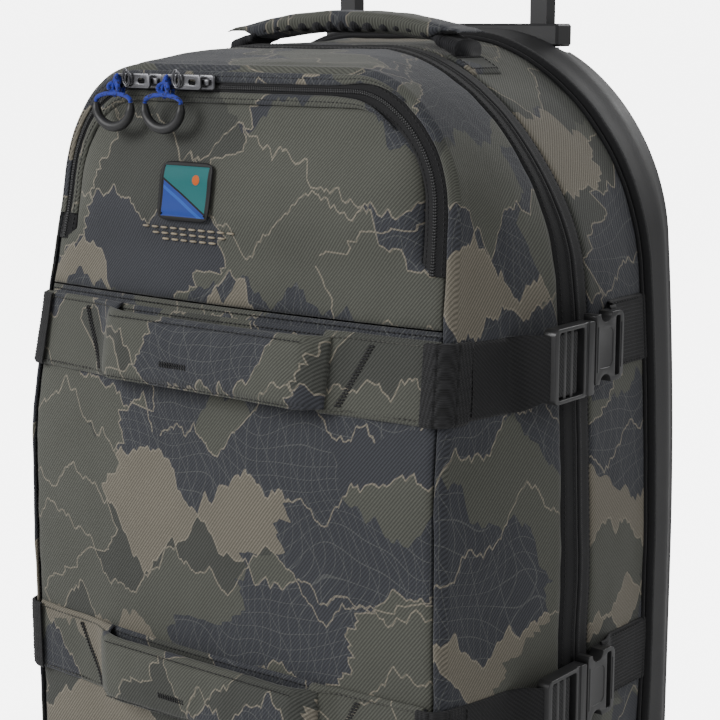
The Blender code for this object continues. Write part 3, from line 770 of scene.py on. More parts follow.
def cord_paint():
    """Royal-blue woven sheath with dark flecks: two families of strands round the cord."""
    shade = Shade("cord blue", (0.012, 0.030, 0.36), 0.7, specular=0.35, sheen=0.2)
    place = shade.place()
    x, y, z = shade.split(place)
    around = shade.add(x, y)
    first = shade.math("SINE", shade.mul(shade.add(around, z), 2 * math.pi / 0.0011))
    second = shade.math("SINE", shade.mul(shade.sub(around, z),
                                           2 * math.pi / 0.0011))
    weave = shade.mul(first, second)
    spots = shade.noise(place, 620.0, 1.0)
    colour = shade.blend(shade.ramp(spots, 0.56, 0.62), (0.014, 0.036, 0.42), (0.004, 0.005, 0.030))
    colour = shade.blend(shade.ramp(weave, 0.2, 0.8, 0.0, 0.45), colour, (0.045, 0.09, 0.62))
    shade.set("Base Color", colour)
    shade.set("Normal", shade.bump(weave, 0.0002, 0.9))
    return shade.material


BLUE = cord_paint()
GRIP_RUBBER = moulded("grip rubber", (0.012, 0.012, 0.013), 0.48, 2600.0, 0.00003, 0.3)
GUNMETAL = moulded("gunmetal", (0.15, 0.15, 0.16), 0.30, 1200.0, 0.00002, 0.35, metallic=1.0)


def make_pull(side, x):
    """A cord loop that hangs from the tab, threaded into a bent rubber grip, knotted round the tab's hole."""
    end = x - TAB_LENGTH
    body = "pull_" + side
    loop = cord_loop(end)
    cord = curve_tube("pull_cord_loop_" + side, loop, CORD_R, BLUE)
    fitted(cord, body, "pull_cord_" + side)

    path = [Vector((end - GRIP_HALF, CORD_Y, GRIP_TOP))]
    for i in range(25):
        turn = math.pi + math.pi * i / 24
        path.append(Vector((end + GRIP_HALF * math.cos(turn), CORD_Y,
                            GRIP_TOP - 0.002 + 0.85 * GRIP_HALF * math.sin(turn))))
    path.append(Vector((end + GRIP_HALF, CORD_Y, GRIP_TOP)))
    grip = curve_tube("pull_grip_rubber_" + side, resample(path, 0.0008), GRIP_R, GRIP_RUBBER,
                      lambda t: (0.74 + 0.30 * smooth(min(t, 1 - t) / 0.10)
                                 + 0.07 * math.cos(2 * math.pi * (t - 0.5))))
    fitted(grip, body, "pull_grip_" + side)

    # The knot round the tab's end: two wraps over the tab and a crossing turn in front
    spot = Vector((end + 0.0015, TAB_Y, PULL_Z))
    wraps = []
    for number, (shift, tilt) in enumerate(((-0.0014, 0.25), (0.0014, -0.25))):
        ring = []
        for turn in turns(32, True):
            ring.append(spot + Vector((shift + tilt * 0.006 * math.sin(turn) - 0.0006,
                                       0.0026 * math.cos(turn) - 0.0002,
                                       0.0062 * math.sin(turn) - 0.0030)))
        wraps.append(ring)
    cross = [spot + Vector((0.0042 * math.cos(t) - 0.0004, -0.0036 - 0.0010 * math.cos(2 * t),
                            -0.0040 + 0.0030 * math.sin(t))) for t in turns(28, True)]
    wraps.append(cross)
    for number, points in enumerate(wraps):
        piece = curve_tube("pull_knot_%s_%d" % (side, number), points, CORD_R * 0.92, BLUE)
        fitted(piece, body)


make_camera()
make_studio()
for pull_side, pull_x in PULLS:
    make_pull(pull_side, pull_x)


# Fabric panels --------------------------------------------------------------------------------------

CAMO_FRONT = camo("camo front", (0.350, 0.0))
CAMO_POCKET = camo("camo pocket", (1.270, 0.017))
CAMO_SIDE = camo("camo side", (2.410, 0.041))
CAMO_REAR = camo("camo rear", (3.730, 0.023))
CAMO_BAND = camo("camo band", (4.910, 0.009))
CAMO_HANDLE = camo("camo handle", (6.130, 0.050))
LINING = woven("lining grey", (0.105, 0.110, 0.120), 0.0009, 0.0009, 0.3, 0.8, 0.00008)
ZIP_TAPE = woven("zip tape", (0.011, 0.011, 0.012), 0.0012, 0.0012, 0.75, 0.78, 0.00022, skew=0.9)
COIL = moulded("zip coil", (0.010, 0.010, 0.011), 0.42, 1500.0, 0.00002, 0.2)
BINDING = woven("binding", (0.010, 0.010, 0.011), 0.0007, 0.0016, 0.7, 0.85, 0.00020)
THREAD = moulded("dark thread", (0.006, 0.006, 0.007), 0.65, 2500.0, 0.00005, 0.3)
PALE_THREAD = moulded("olive thread", (0.060, 0.060, 0.052), 0.7, 2500.0, 0.00005, 0.3)
MESH = woven("spacer mesh", (0.016, 0.016, 0.018), 0.0016, 0.0013, 0.8, 0.9, 0.00035)
FABRIC = 0.0012
AHEAD = Vector((0.0, -1.0, 0.0))


def ripple(p, scale, seed=0.0):
    return noise.noise(Vector((p.x * scale + seed, p.y * scale, p.z * scale)))


def relief(p):
    """Soft hollows and creases of the padded cloth, flat under the pocket's sliders."""
    waves = 0.0016 * ripple(p, 9.0) + 0.0007 * ripple(p, 24.0, 5.0) + 0.00025 * ripple(p, 70.0, 9.0)
    flat = (smooth((-0.080 - p.y) / 0.006) * smooth((p.z - 0.550) / 0.008)
            * (1.0 - smooth((abs(p.x) - 0.094) / 0.024)))
    return mix(waves, -0.0005, flat)


def pucker(p, distance, depth=0.0010, reach=0.010, scale=75.0):
    """Gathers beside a seam, and the furrow of the seam itself."""
    near = math.exp(-distance / reach)
    return near * 0.0007 * ripple(p, scale, 3.0) - depth * math.exp(-(distance / 0.0022) ** 2)


def front_half(z, inset):
    half, top, radius, _lean = STATIONS[0][1:]
    half, radius = half - inset, radius - inset
    shoulder = top - inset - radius
    past = max(z - shoulder, 0.0)
    wide = half - radius + math.sqrt(max(radius ** 2 - past ** 2, 0.0)) if past else half
    return wide * taper(z)


def face_point(x, z, lift=0.0):
    """A point on the front face, with its creases."""
    y = front_y(x, z)
    return Vector((x, y - relief(Vector((x, y, z))) - lift, z))


def flank_point(side, y, z, lift=0.0):
    """A point on the side, with its creases."""
    x = side_x(y, z)
    return Vector((side * (x + relief(Vector((side * x, y, z))) + lift), y + lean_at(y, z), z))


def spread(low, high, count):
    return [mix(low, high, i / (count - 1)) for i in range(count)]


def arch_lengths(ring):
    total, out = 0.0, [0.0]
    for a, b in zip(ring, ring[1:]):
        total += (b - a).length
        out.append(total)
    return out


def front_ring(inset, low, offset=0.0):
    """The rim of the front face at an inset."""
    half, top, radius, _lean = soft_section(FRONT)
    centre_x, centre_z = half - radius, top - radius
    out = []
    for x, z in [(x / taper(z), z) for x, z in arch_outline(FRONT, 0.0, low)]:
        corner_x = max(abs(x) - centre_x, 0.0)
        corner_z = max(z - centre_z, 0.0)
        size = math.hypot(corner_x, corner_z)
        if z <= centre_z:
            x = math.copysign(abs(x) - inset, x)
        elif size > 0.0:
            x = math.copysign(centre_x + corner_x * (size - inset) / size, x) if corner_x else x
            z = centre_z + corner_z * (size - inset) / size
        out.append(Vector((x * taper(z), front_y(x * taper(z), z) + offset, z)))
    return out


def arch_panel(name, depths, body, material, seams, low=SPLIT_Z + 0.0006, front_roll=False):
    """A panel that goes up one side, over the top and down the other, between two depths."""
    rows = []
    for y in depths:
        rows.append(leaned(y, arch_outline(y, 0.0, low)))
    across = list(depths)
    if front_roll:
        for inset, back in ((0.0008, 0.0026), (0.0022, 0.0008), (0.0038, 0.0), (0.0050, -0.0002),
                            (0.0056, 0.0012)):
            rows.append(front_ring(inset, low, back))
            across.append(across[-1] - 0.0019)
    distances = [min(abs(y - seam) for seam in seams) for y in across]

    def height(i, j, p):
        return relief(p) + pucker(p, distances[i])

    lengths = arch_lengths(rows[0])
    grid = lifted(rows, height)
    panel = grid_object(name, grid, lambda i, j, p: (across[i], lengths[j] + low), material)
    thicken(panel, FABRIC, LINING)
    baked(panel)
    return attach(panel, body), grid


def row_path(grid, i):
    normals = grid_normals(grid)
    return list(zip(grid[i], normals[i]))


ZIP_FRONT = -0.019
ZIP_REAR = 0.009
PIPING_Y = 0.077

side_panel, side_grid = arch_panel(
    "lid_side_panel", spread(ZIP_FRONT - 0.0004, FRONT + 0.0055, 46), "lid", CAMO_SIDE,
    (ZIP_FRONT, FRONT - 0.0045), front_roll=True)
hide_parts("lid_shell")
gusset, gusset_grid = arch_panel(
    "rear_gusset_panel", spread(PIPING_Y - 0.0012, ZIP_REAR + 0.0004, 32), "bag", CAMO_REAR,
    (ZIP_REAR, PIPING_Y), low=0.0790)
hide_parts("rear_gusset")


WHEEL_Y = 0.0977
WHEEL_R = 0.036
WELL_R = 0.0449
SLEEVE_R = 0.0456
SLEEVE_SPAN = (math.radians(46.0), math.radians(168.0))
WHEEL_X = 0.152


def x_cylinder(name, x0, x1, radius, sides=72):
    """A cylinder about the wheels' axis."""
    rings = [[Vector((x, WHEEL_Y + radius * math.cos(t), WHEEL_R + radius * math.sin(t)))
              for t in turns(sides)] for x in (x0, x1)]
    vertices, faces = sweep(rings)
    return recalculated(mesh_object(name, vertices, faces, THREAD))


def well_cutters():
    return [x_cylinder("well_right", 0.1287, 0.25, WELL_R), x_cylinder("well_left", -0.25, -0.1287, WELL_R)]


# Front panels: the wall below the pocket, the pocket's own panel and its zip ------------------------

POCKET_INSET = 0.0200
POCKET_PUFF = 0.0070
ZIP_FOOT = 0.4665
NARROWS = 0.0060


def puff(x, z):
    """How far the filled pocket stands proud of the face."""
    near = max(front_half(z, POCKET_INSET) - abs(x), 0.0)
    upright = smooth((z - 0.462) / 0.030) * (1.0 - smooth((z - 0.508) / 0.030))
    return POCKET_PUFF * (1 - math.exp(-near / 0.008)) * upright


def face_panel(name, heights, half_at, material, shift, body=None, crown=0.0):
    """A panel of the front face, in rows of the given heights, as wide at each height as half_at says."""
    shares = [math.sin(math.pi / 2 * s) * 0.35 + s * 0.65 for s in spread(-1.0, 1.0, 121)]
    low, high = heights[0], heights[-1]
    rows = []
    gaps = []
    for z in heights:
        half = half_at(z)
        row, gap = [], []
        for share in shares:
            x = share * half
            row.append(Vector((x, front_y(x, z), z)))
            gap.append(min(half * (1.0 - abs(share)), z - low, high - z))
        rows.append(row)
        gaps.append(gap)

    def height(i, j, p):
        near = gaps[i][j]
        full = crown * (1 - math.exp(-near / 0.02)) + (puff(p.x, p.z) if crown else 0.0)
        return relief(p) + pucker(p, near, 0.0009) - 0.0012 * math.exp(-near / 0.004) + full

    grid = lifted(rows, height)
    panel = grid_object(name, grid, lambda i, j, p: (p.x + shift, p.z), material)
    thicken(panel, FABRIC, LINING)
    baked(panel)
    if body:
        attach(panel, body)
    return panel, grid


front_panel, front_grid = face_panel(
    "lid_front_panel", spread(SPLIT_Z + 0.0006, POCKET_SEAM - 0.0004, 120), lambda z: front_half(z, 0.0052),
    CAMO_FRONT, 0.20, "lid")


def pocket_half(z):
    wide, narrow = front_half(z, 0.0052), front_half(z, POCKET_INSET)
    return mix(wide, narrow, smooth((z - ZIP_FOOT) / NARROWS))


def pocket_rows():
    _half, top, radius, _lean = STATIONS[0][1:]
    shoulder = top - radius
    inner = radius - POCKET_INSET
    straight = spread(POCKET_SEAM + 0.0004, shoulder - 0.0006, 44)
    return straight + [shoulder + inner * math.sin(math.pi / 2 * i / 26) for i in range(27)]


pocket_panel, pocket_grid = face_panel("pocket_panel", pocket_rows(), pocket_half, CAMO_POCKET, 0.20,
                                       crown=0.0012)
front_y(0.0, 0.458)
front_y(0.0, 0.48)
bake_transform(pocket_panel)
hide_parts("pocket_flap")


def pocket_zip_tape():
    """The tape and its closed coil, from one foot of the pocket over the top to the other."""
    profile = ((0.0046, -0.0012), (0.0060, -0.0003), (0.0075, 0.0004), (0.0100, 0.0006), (0.0108, 0.0013),
               (0.0124, 0.0017), (0.0129, 0.0009), (0.0134, 0.0017), (0.0150, 0.0013), (0.0158, 0.0006),
               (0.0185, 0.0004), (0.0200, -0.0004), (0.0215, -0.0012))
    rows = [front_ring(inset, ZIP_FOOT - 0.001) for inset, _rise in profile]
    grid = lifted(rows, lambda i, j, p: profile[i][1] + relief(p) - 0.0004)
    lengths = arch_lengths(rows[0])
    tape = grid_object("pocket_zip_tape", grid, lambda i, j, p: (lengths[j], profile[i][0]), ZIP_TAPE)
    thicken(tape, 0.0006)
    baked(tape)
    fitted(tape, "lid", "pocket_zip")
    left_row, right_row = row_path(grid, 5), row_path(grid, 7)
    for name, path, slant in (("outer", left_row, 0.75), ("inner", right_row, -0.75)):
        coil = stitches("pocket_zip_coil_" + name, [path], COIL, "lid", pitch=0.0016, length=0.0023,
                        radius=0.00062, lift=-0.0002, slant=slant)
    sewn = stitches("pocket_zip_stitches", [row_path(grid, 2), row_path(grid, 10)], THREAD, "lid",
                    pitch=0.0030,
                    length=0.0021, radius=0.00026)
    return grid


pocket_zip_tape()


def zip_lip(name, outside, inside, body, material):
    """The turned edge of the cloth that hides the tape over the top and down the left side."""
    rows = []
    for share in (0.0, 0.03, 0.10, 0.25, 0.45, 0.65, 0.82, 0.93, 1.0):
        edge = front_ring(outside, 0.4815)
        lip = front_ring(inside, 0.4815)
        row = []
        for a, b in zip(edge, lip):
            if b.x > 0.118:
                continue
            wide = smooth((0.125 - b.x) / 0.060)
            row.append(a.lerp(b, share * mix(0.15, 1.0, wide)))
        rows.append(row)
    rises = [-0.0004, 0.0005, 0.0010, 0.0014, 0.0017, 0.0018, 0.0017, 0.0013, 0.0007]
    if inside < outside:
        rows.reverse()
        rises.reverse()
    grid = lifted(rows, lambda i, j, p: rises[i] + relief(p) + 0.0002 * noise.noise(p * 160))
    strip_piece = grid_object(name, grid, lambda i, j, p: (p.x + 0.20, p.z), material)
    thicken(strip_piece, 0.0006)
    baked(strip_piece)
    fitted(strip_piece, body)
    sewn = stitches(name + "_stitches", [row_path(grid, 4)], THREAD, body, pitch=0.0030, length=0.0021,
                    radius=0.00022)


zip_lip("pocket_zip_lip_outer", 0.0036, 0.0101, "lid", CAMO_FRONT)
zip_lip("pocket_zip_lip_inner", 0.0222, 0.0157, "pocket", CAMO_POCKET)


# The main zip ---------------------------------------------------------------------------------------

def main_tape(name, profile, body, node):
    rows = []
    for y, _rise in profile:
        rows.append(leaned(y, arch_outline(y, 0.0, SPLIT_Z + 0.0008)))
    grid = lifted(rows, lambda i, j, p: profile[i][1] + relief(p))
    lengths = arch_lengths(rows[0])
    tape = grid_object(name, grid, lambda i, j, p: (lengths[j], profile[i][0]), ZIP_TAPE)
    thicken(tape, 0.0007)
    baked(tape)
    fitted(tape, body, node)
    return grid


# Distance from the slit and rise of the tape, from its rolled edge to its hidden one
TAPE_PROFILE = ((0.0002, -0.0009), (0.0004, 0.0004), (0.0012, 0.0010), (0.0028, 0.0011), (0.0036, 0.0005),
                (0.0050, 0.0003), (0.0090, 0.0003), (0.0120, 0.0002), (0.0136, -0.0008), (0.0148, -0.0016))
front_profile = [(ZIP_SLIT - away, rise) for away, rise in TAPE_PROFILE]
rear_profile = [(ZIP_SLIT + away, rise) for away, rise in reversed(TAPE_PROFILE)]
tape_front = main_tape("main_zip_tape_front", front_profile, "lid", "main_zip_front")
tape_rear = main_tape("main_zip_tape_rear", rear_profile, "bag", "main_zip_rear")
for tape_name, tape_grid, tape_rows, tape_body in (("front", tape_front, (4, 7), "lid"),
                                                   ("rear", tape_rear, (5, 2), "bag")):
    tape_sewing = stitches("main_zip_stitches_" + tape_name, [row_path(tape_grid, r) for r in tape_rows],
                           THREAD,
                           tape_body, pitch=0.0032, length=0.0020, radius=0.00034, lift=-0.0001)


# Seams of the cloth panels --------------------------------------------------------------------------

def face_path(points, lift=0.0002):
    """Points on the front face, from corner points in X and Z."""
    out = []
    for (x0, z0), (x1, z1) in zip(points, points[1:]):
        count = max(int(math.hypot(x1 - x0, z1 - z0) / 0.002), 1)
        for i in range(count):
            x, z = mix(x0, x1, i / count), mix(z0, z1, i / count)
            out.append((face_point(x, z, lift), AHEAD))
    out.append((face_point(*points[-1], lift), AHEAD))
    return out


seam_half = front_half(POCKET_SEAM, 0.007)
stitches("pocket_seam_stitches",
                 [face_path([(-seam_half, POCKET_SEAM + rise), (seam_half, POCKET_SEAM + rise)])
                  for rise in (-0.0030, -0.0090)],
                 THREAD, "lid", length=0.0026, radius=0.00036)


# Bands, grab handles and their anchors --------------------------------------------------------------

BAND_HALF_HEIGHT = 0.0225
BAND_REACH = 0.1565
ANCHOR_START = 0.081
WEBBING = woven("webbing", (0.0125, 0.0125, 0.0135), 0.0024, 0.0013, 0.7, 0.7, 0.00035, skew=0.9)
RIBBED = woven("ribbed webbing", (0.014, 0.014, 0.015), 0.0022, 0.0011, 0.8, 0.7, 0.0004)


def strip(name, columns, material, uv, thickness):
    """A cloth strip from a grid of points, given its thickness inwards."""
    piece = grid_object(name, columns, uv, material)
    thicken(piece, thickness)
    baked(piece)
    return piece


def make_band(level, z):
    heights = [z + BAND_HALF_HEIGHT * s for s in (-1.0, -0.985, -0.95, -0.9)] + \
        [z + BAND_HALF_HEIGHT * s for s in spread(-0.8, 0.8, 15)] + \
        [z + BAND_HALF_HEIGHT * s for s in (0.9, 0.95, 0.985, 1.0)]
    rows = []
    for height in heights:
        edge = BAND_HALF_HEIGHT - abs(height - z)
        lift = 0.0001 + 0.0017 * smooth(edge / 0.0015)
        row = []
        for x in spread(-BAND_REACH, BAND_REACH, 150):
            rise = 0.00035 * noise.noise(Vector((x * 60, height * 60, 2.0)))
            row.append(face_point(x, height, lift + rise))
        rows.append(row)
    band = strip("front_band_" + level, rows, CAMO_BAND, lambda i, j, p: (p.x + 0.30, p.z + 0.4),
                 0.0012)
    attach(band, "lid")
    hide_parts("band_" + level)
    reach = BAND_REACH - 0.002
    paths = [face_path([(-reach, z + s * (BAND_HALF_HEIGHT - 0.0026)),
                        (reach, z + s * (BAND_HALF_HEIGHT - 0.0026))], 0.0020) for s in (-1, 1)]
    stitches("front_band_stitches_" + level, paths, THREAD, "lid", length=0.0026, radius=0.0003)
    return band


def make_anchor(level, z, name, side):
    """The patch sewn over the end of a grab handle, with a slanting bartack."""
    rows = []
    for share in (-1.0, -0.98, -0.95, -0.9) + tuple(spread(-0.8, 0.8, 13)) + (0.9, 0.95, 0.98, 1.0):
        height = z + share * (BAND_HALF_HEIGHT + 0.0008)
        edge = (BAND_HALF_HEIGHT + 0.0008) * (1 - abs(share))
        row = []
        for x in spread(ANCHOR_START, BAND_REACH - 0.0006, 60):
            inner = x - ANCHOR_START
            lift = 0.0024 + 0.0052 * (1.0 - smooth(inner / 0.020)) * smooth((edge + 0.004) / 0.010)
            lift -= 0.0016 * (1.0 - smooth(edge / 0.0014)) + 0.0010 * (1.0 - smooth(inner / 0.0010))
            lift += 0.0006 * noise.noise(Vector((x * 55, height * 55, 7.0 + side)))
            row.append(face_point(side * x, height, lift))
        rows.append(row if side > 0 else row[::-1])
    patch = strip("band_anchor_%s_%s" % (level, name), rows, CAMO_BAND,
                  lambda i, j, p: (p.x + 0.61, p.z + 0.53), 0.0012)
    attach(patch, "lid")

    def at(x, height, lift=0.0):
        inner = x - ANCHOR_START
        rise = 0.0024 + 0.0052 * (1.0 - smooth(inner / 0.020)) + 0.0002 + lift
        return face_point(side * x, height, rise), AHEAD

    edge = BAND_HALF_HEIGHT - 0.0022
    outline = [at(x, z + edge) for x in spread(BAND_REACH - 0.003, ANCHOR_START + 0.0026, 60)]
    outline += [at(ANCHOR_START + 0.0026, height) for height in spread(z + edge, z - edge, 34)]
    outline += [at(x, z - edge) for x in spread(ANCHOR_START + 0.0026, BAND_REACH - 0.003, 60)]
    stitches("band_anchor_stitches_%s_%s" % (level, name), [outline], PALE_THREAD, "lid",
                     pitch=0.0032,
                     length=0.0024, radius=0.0003)
    slanted = []
    for shift in (-0.0009, 0.0009):
        slanted.append([at(mix(0.113, 0.094, t) + shift, mix(z + 0.018, z - 0.019, t))
                        for t in spread(0.0, 1.0, 24)])
    stitches("band_bartack_%s_%s" % (level, name), slanted, THREAD, "lid", pitch=0.0021,
                     length=0.0026, radius=0.0005, slant=0.9)


def padded_shape(thing, voxel, cap, pressure=4.0):
    """Remeshes a closed form and lets cloth swell it, with each point held within cap of its place."""
    remesh = thing.modifiers.new("remesh", "REMESH")
    remesh.mode = "VOXEL"
    remesh.voxel_size = voxel
    baked(thing)
    before = [v.co.copy() for v in thing.data.vertices]
    cloth = thing.modifiers.new("cloth", "CLOTH")
    cloth.settings.use_pressure = True
    cloth.settings.uniform_pressure_force = pressure
    cloth.settings.effector_weights.gravity = 0.0
    cloth.settings.quality = 5
    cloth.settings.tension_stiffness = 30.0
    cloth.settings.bending_stiffness = 4.0
    cloth.point_cache.frame_start = 1
    cloth.point_cache.frame_end = 20
    scene = bpy.context.scene
    for frame_number in range(1, 21):
        scene.frame_set(frame_number)
    depsgraph = bpy.context.evaluated_depsgraph_get()
    after = [v.co.copy() for v in thing.evaluated_get(depsgraph).data.vertices]
    thing.modifiers.clear()
    scene.frame_set(1)
    for vertex, a, b in zip(thing.data.vertices, before, after):
        move = b - a
        if move.length > cap:
            move = move.normalized() * cap
        vertex.co = a + move
    return thing


def print_from_place(thing, uv):
    layer = thing.data.uv_layers.get("print") or thing.data.uv_layers.new(name="print")
    for loop in thing.data.loops:
        layer.data[loop.index].uv = uv(thing.data.vertices[loop.vertex_index].co)


def softened(thing, rounds=1, smoothing=6):
    """Smooths a remeshed form and subdivides it."""
    smoother = thing.modifiers.new("smooth", "SMOOTH")
    smoother.factor = 0.5
    smoother.iterations = smoothing
    divide = thing.modifiers.new("subdivide", "SUBSURF")
    divide.levels = rounds
    divide.render_levels = rounds
    baked(thing)
    thing.data.shade_smooth()
    return thing


def make_grab_pad(level, z):
    """A padded grab handle: full in the middle, pulled in at its ends, with a sewn channel at each edge."""
    rings = []
    high = 0.0228
    forward = 0.002 if level == "upper" else 0.0
    slope = (front_lean(z + high) - front_lean(z - high)) / (2 * high)

    def placed(x, y, height):
        return Vector((x, y - forward + front_lean(z) + slope * (height - z), height))

    for x in spread(-0.0885, 0.0885, 40):
        end = smooth((abs(x) - 0.062) / 0.026)
        seat = min(front_y(x, h) - front_lean(h) for h in (z - high, z, z + high)) - 0.0030 + forward
        inner = mix(-0.1352, seat, end)
        outer = mix(-0.1412, seat - 0.0030, smooth((abs(x) - 0.074) / 0.016))
        middle = (inner + outer) / 2
        ring = []
        for turn in turns(28):
            reach, thick = squared(math.cos(turn), 0.42), squared(math.sin(turn), 0.62)
            depth = middle - (middle - outer if thick > 0 else inner - middle) * thick
            ring.append(placed(x, depth, z + reach * (high - 0.0012 * end)))
        rings.append(ring)
    vertices, faces = sweep(rings)
    pad = mesh_object("grab_pad_cover_" + level, vertices, faces, CAMO_FRONT)
    recalculated(pad)
    padded_shape(pad, 0.0022, 0.0022)
    softened(pad)
    for vertex in pad.data.vertices:
        p = vertex.co
        edge = high - abs(p.z - z)
        furrow = math.exp(-((edge - 0.0048) / 0.0009) ** 2)
        front = 1.0 if p.y < placed(0.0, -0.1372, p.z).y else 0.0
        vertex.co.y += front * 0.0010 * furrow
        vertex.co.y -= 0.0007 * noise.noise(Vector((p.x * 70, p.z * 45, 4.0))) * front
    print_from_place(pad, lambda p: (p.x + 0.93, p.z + (p.y + 0.138) * 0.6 + 0.11))
    fitted(pad, "lid", "grab_pad_" + level)
    edge = high - 0.0048
    lines = []
    for s in (-1, 1):
        line = []
        for x in spread(-0.076, 0.076, 60):
            line.append((placed(x, -0.1418, z + s * edge), AHEAD))
        lines.append(line)
    stitches("grab_pad_stitches_" + level, lines, THREAD, "lid", pitch=0.0033, length=0.0025,
                     radius=0.0003, lift=0.0004)
    tack = [[(placed(x, -0.1434, z - 0.006 + shift), AHEAD) for x in spread(-0.029, -0.006, 16)]
            for shift in (-0.0008, 0.0008)]
    stitches("grab_pad_bartack_" + level, tack, THREAD, "lid", pitch=0.0020, length=0.0024,
                     radius=0.00045, slant=0.8)
    return pad


for band_level, band_z in LEVELS:
    make_band(band_level, band_z)
    make_grab_pad(band_level, band_z)
    for side_name, side_sign in SIDES:
        make_anchor(band_level, band_z, side_name, side_sign)


# Straps and buckles ---------------------------------------------------------------------------------

BUCKLE_INNER = 0.1865
BUCKLE_OUTER = 0.1955
CLIP_Y = (-0.053, -0.0105)
CLIP_RISE = 0.005
SOCKET_Y = (-0.010, 0.021)
SOCKET_RISE = 0.009
REAR_WEB_RISE = 0.011
PLASTIC = moulded("buckle plastic", (0.022, 0.022, 0.023), 0.36, 1500.0, 0.00003, 0.28, specular=0.55)


def rounded_outline(y0, y1, z0, z1, radius, steps=6):
    """A rounded rectangle in Y and Z, with one radius or four, from the low corner at y0 anticlockwise."""
    radii = (radius,) * 4 if isinstance(radius, float) else radius
    corners = ((y0, z0, 1, 1, math.pi), (y1, z0, -1, 1, 1.5 * math.pi), (y1, z1, -1, -1, 0.0),
               (y0, z1, 1, -1, 0.5 * math.pi))
    out = []
    for (y, z, sy, sz, start), r in zip(corners, radii):
        for i in range(steps + 1):
            turn = start + math.pi / 2 * i / steps
            out.append((y + sy * r + r * math.cos(turn), z + sz * r + r * math.sin(turn)))
    return out


def solid(name, points, place, ends, material):
    """An outline made solid between two ends: place(a, b, end) puts each of its points at an end."""
    vertices, faces = sweep([[Vector(place(a, b, end)) for a, b in points] for end in ends])
    return recalculated(mesh_object(name, vertices, faces, material))


def cut_solid(name, outline, place, ends, material, bevel, segments, holes):
    """A solid with through or blind cuts, given as outlines with their own ends, and rounded edges."""
    piece = solid(name, outline, place, ends, material)
    tools = [solid(name + "_cut", points, place, reach, material) for points, reach in holes]
    if tools:
        clipped(piece, *tools)
    rounding = piece.modifiers.new("rounding", "BEVEL")
    rounding.width = bevel
    rounding.segments = segments
    rounding.limit_method = "ANGLE"
    rounding.angle_limit = math.radians(35.0)
    baked(piece)
    piece.data.shade_smooth()
    piece.data.set_sharp_from_angle(angle=math.radians(38.0))
    return piece


def slab(name, outline, x0, x1, material, bevel=0.0008, segments=3, holes=(), flip=1):
    """An outline in Y and Z made solid from x0 to x1, or mirrored if flip is -1."""
    cuts = [(points, sorted((flip * a, flip * b))) for points, a, b in holes]
    return cut_solid(name, outline, lambda y, z, x: (x, y, z), sorted((flip * x0, flip * x1)), material,
                     bevel, segments, cuts)


def make_socket(level, z, name, side):
    """The female half: a shallow case with scalloped ends, and a tall slot for the rear webbing."""
    middle = z + SOCKET_RISE
    high = 0.0205
    y0, y1 = SOCKET_Y
    outline = rounded_outline(y0, y1, middle - high, middle + high, (0.0015, 0.0055, 0.0055, 0.0015))
    notch = 0.0052

    def scallop(z_edge, sign):
        points = []
        for i in range(15):
            turn = math.pi * i / 14
            points.append((y0 + 0.0110 + 0.0062 * math.cos(turn), z_edge - sign * notch * math.sin(turn)))
        return points + [(y0 + 0.0048, z_edge + sign * 0.004), (y0 + 0.0172, z_edge + sign * 0.004)]

    slot_outline = rounded_outline(y1 - 0.0092, y1 - 0.0042, middle - high + 0.0028, middle + high - 0.0028,
                                   0.0012, 4)
    dish = rounded_outline(y0 + 0.0030, y1 - 0.0120, middle - 0.0115, middle + 0.0115, 0.0040, 5)
    outer, inner = BUCKLE_OUTER, BUCKLE_INNER
    holes = ((scallop(middle + high, 1), inner - 0.001, outer + 0.001),
             (scallop(middle - high, -1), inner - 0.001, outer + 0.001),
             (slot_outline, inner + 0.0025, outer + 0.001),
             (dish, outer - 0.0005, outer + 0.001))
    socket = slab("buckle_case_%s_%s" % (level, name), outline, inner, outer, PLASTIC, 0.0011, 3, holes, side)
    fitted(socket, "bag", "buckle_socket_%s_%s" % (level, name))
    bars = []
    for y in (y0 + 0.0020, y1 - 0.0026):
        bar = slab("buckle_rib_%s_%s_%d" % (level, name, len(bars)),
                   rounded_outline(y - 0.0006, y + 0.0006, middle - 0.0135, middle + 0.0135, 0.0005, 3),
                   outer - 0.0004, outer + 0.0004, PLASTIC, 0.0003, 2, (), side)
        fitted(bar, "bag")
        bars.append(bar)


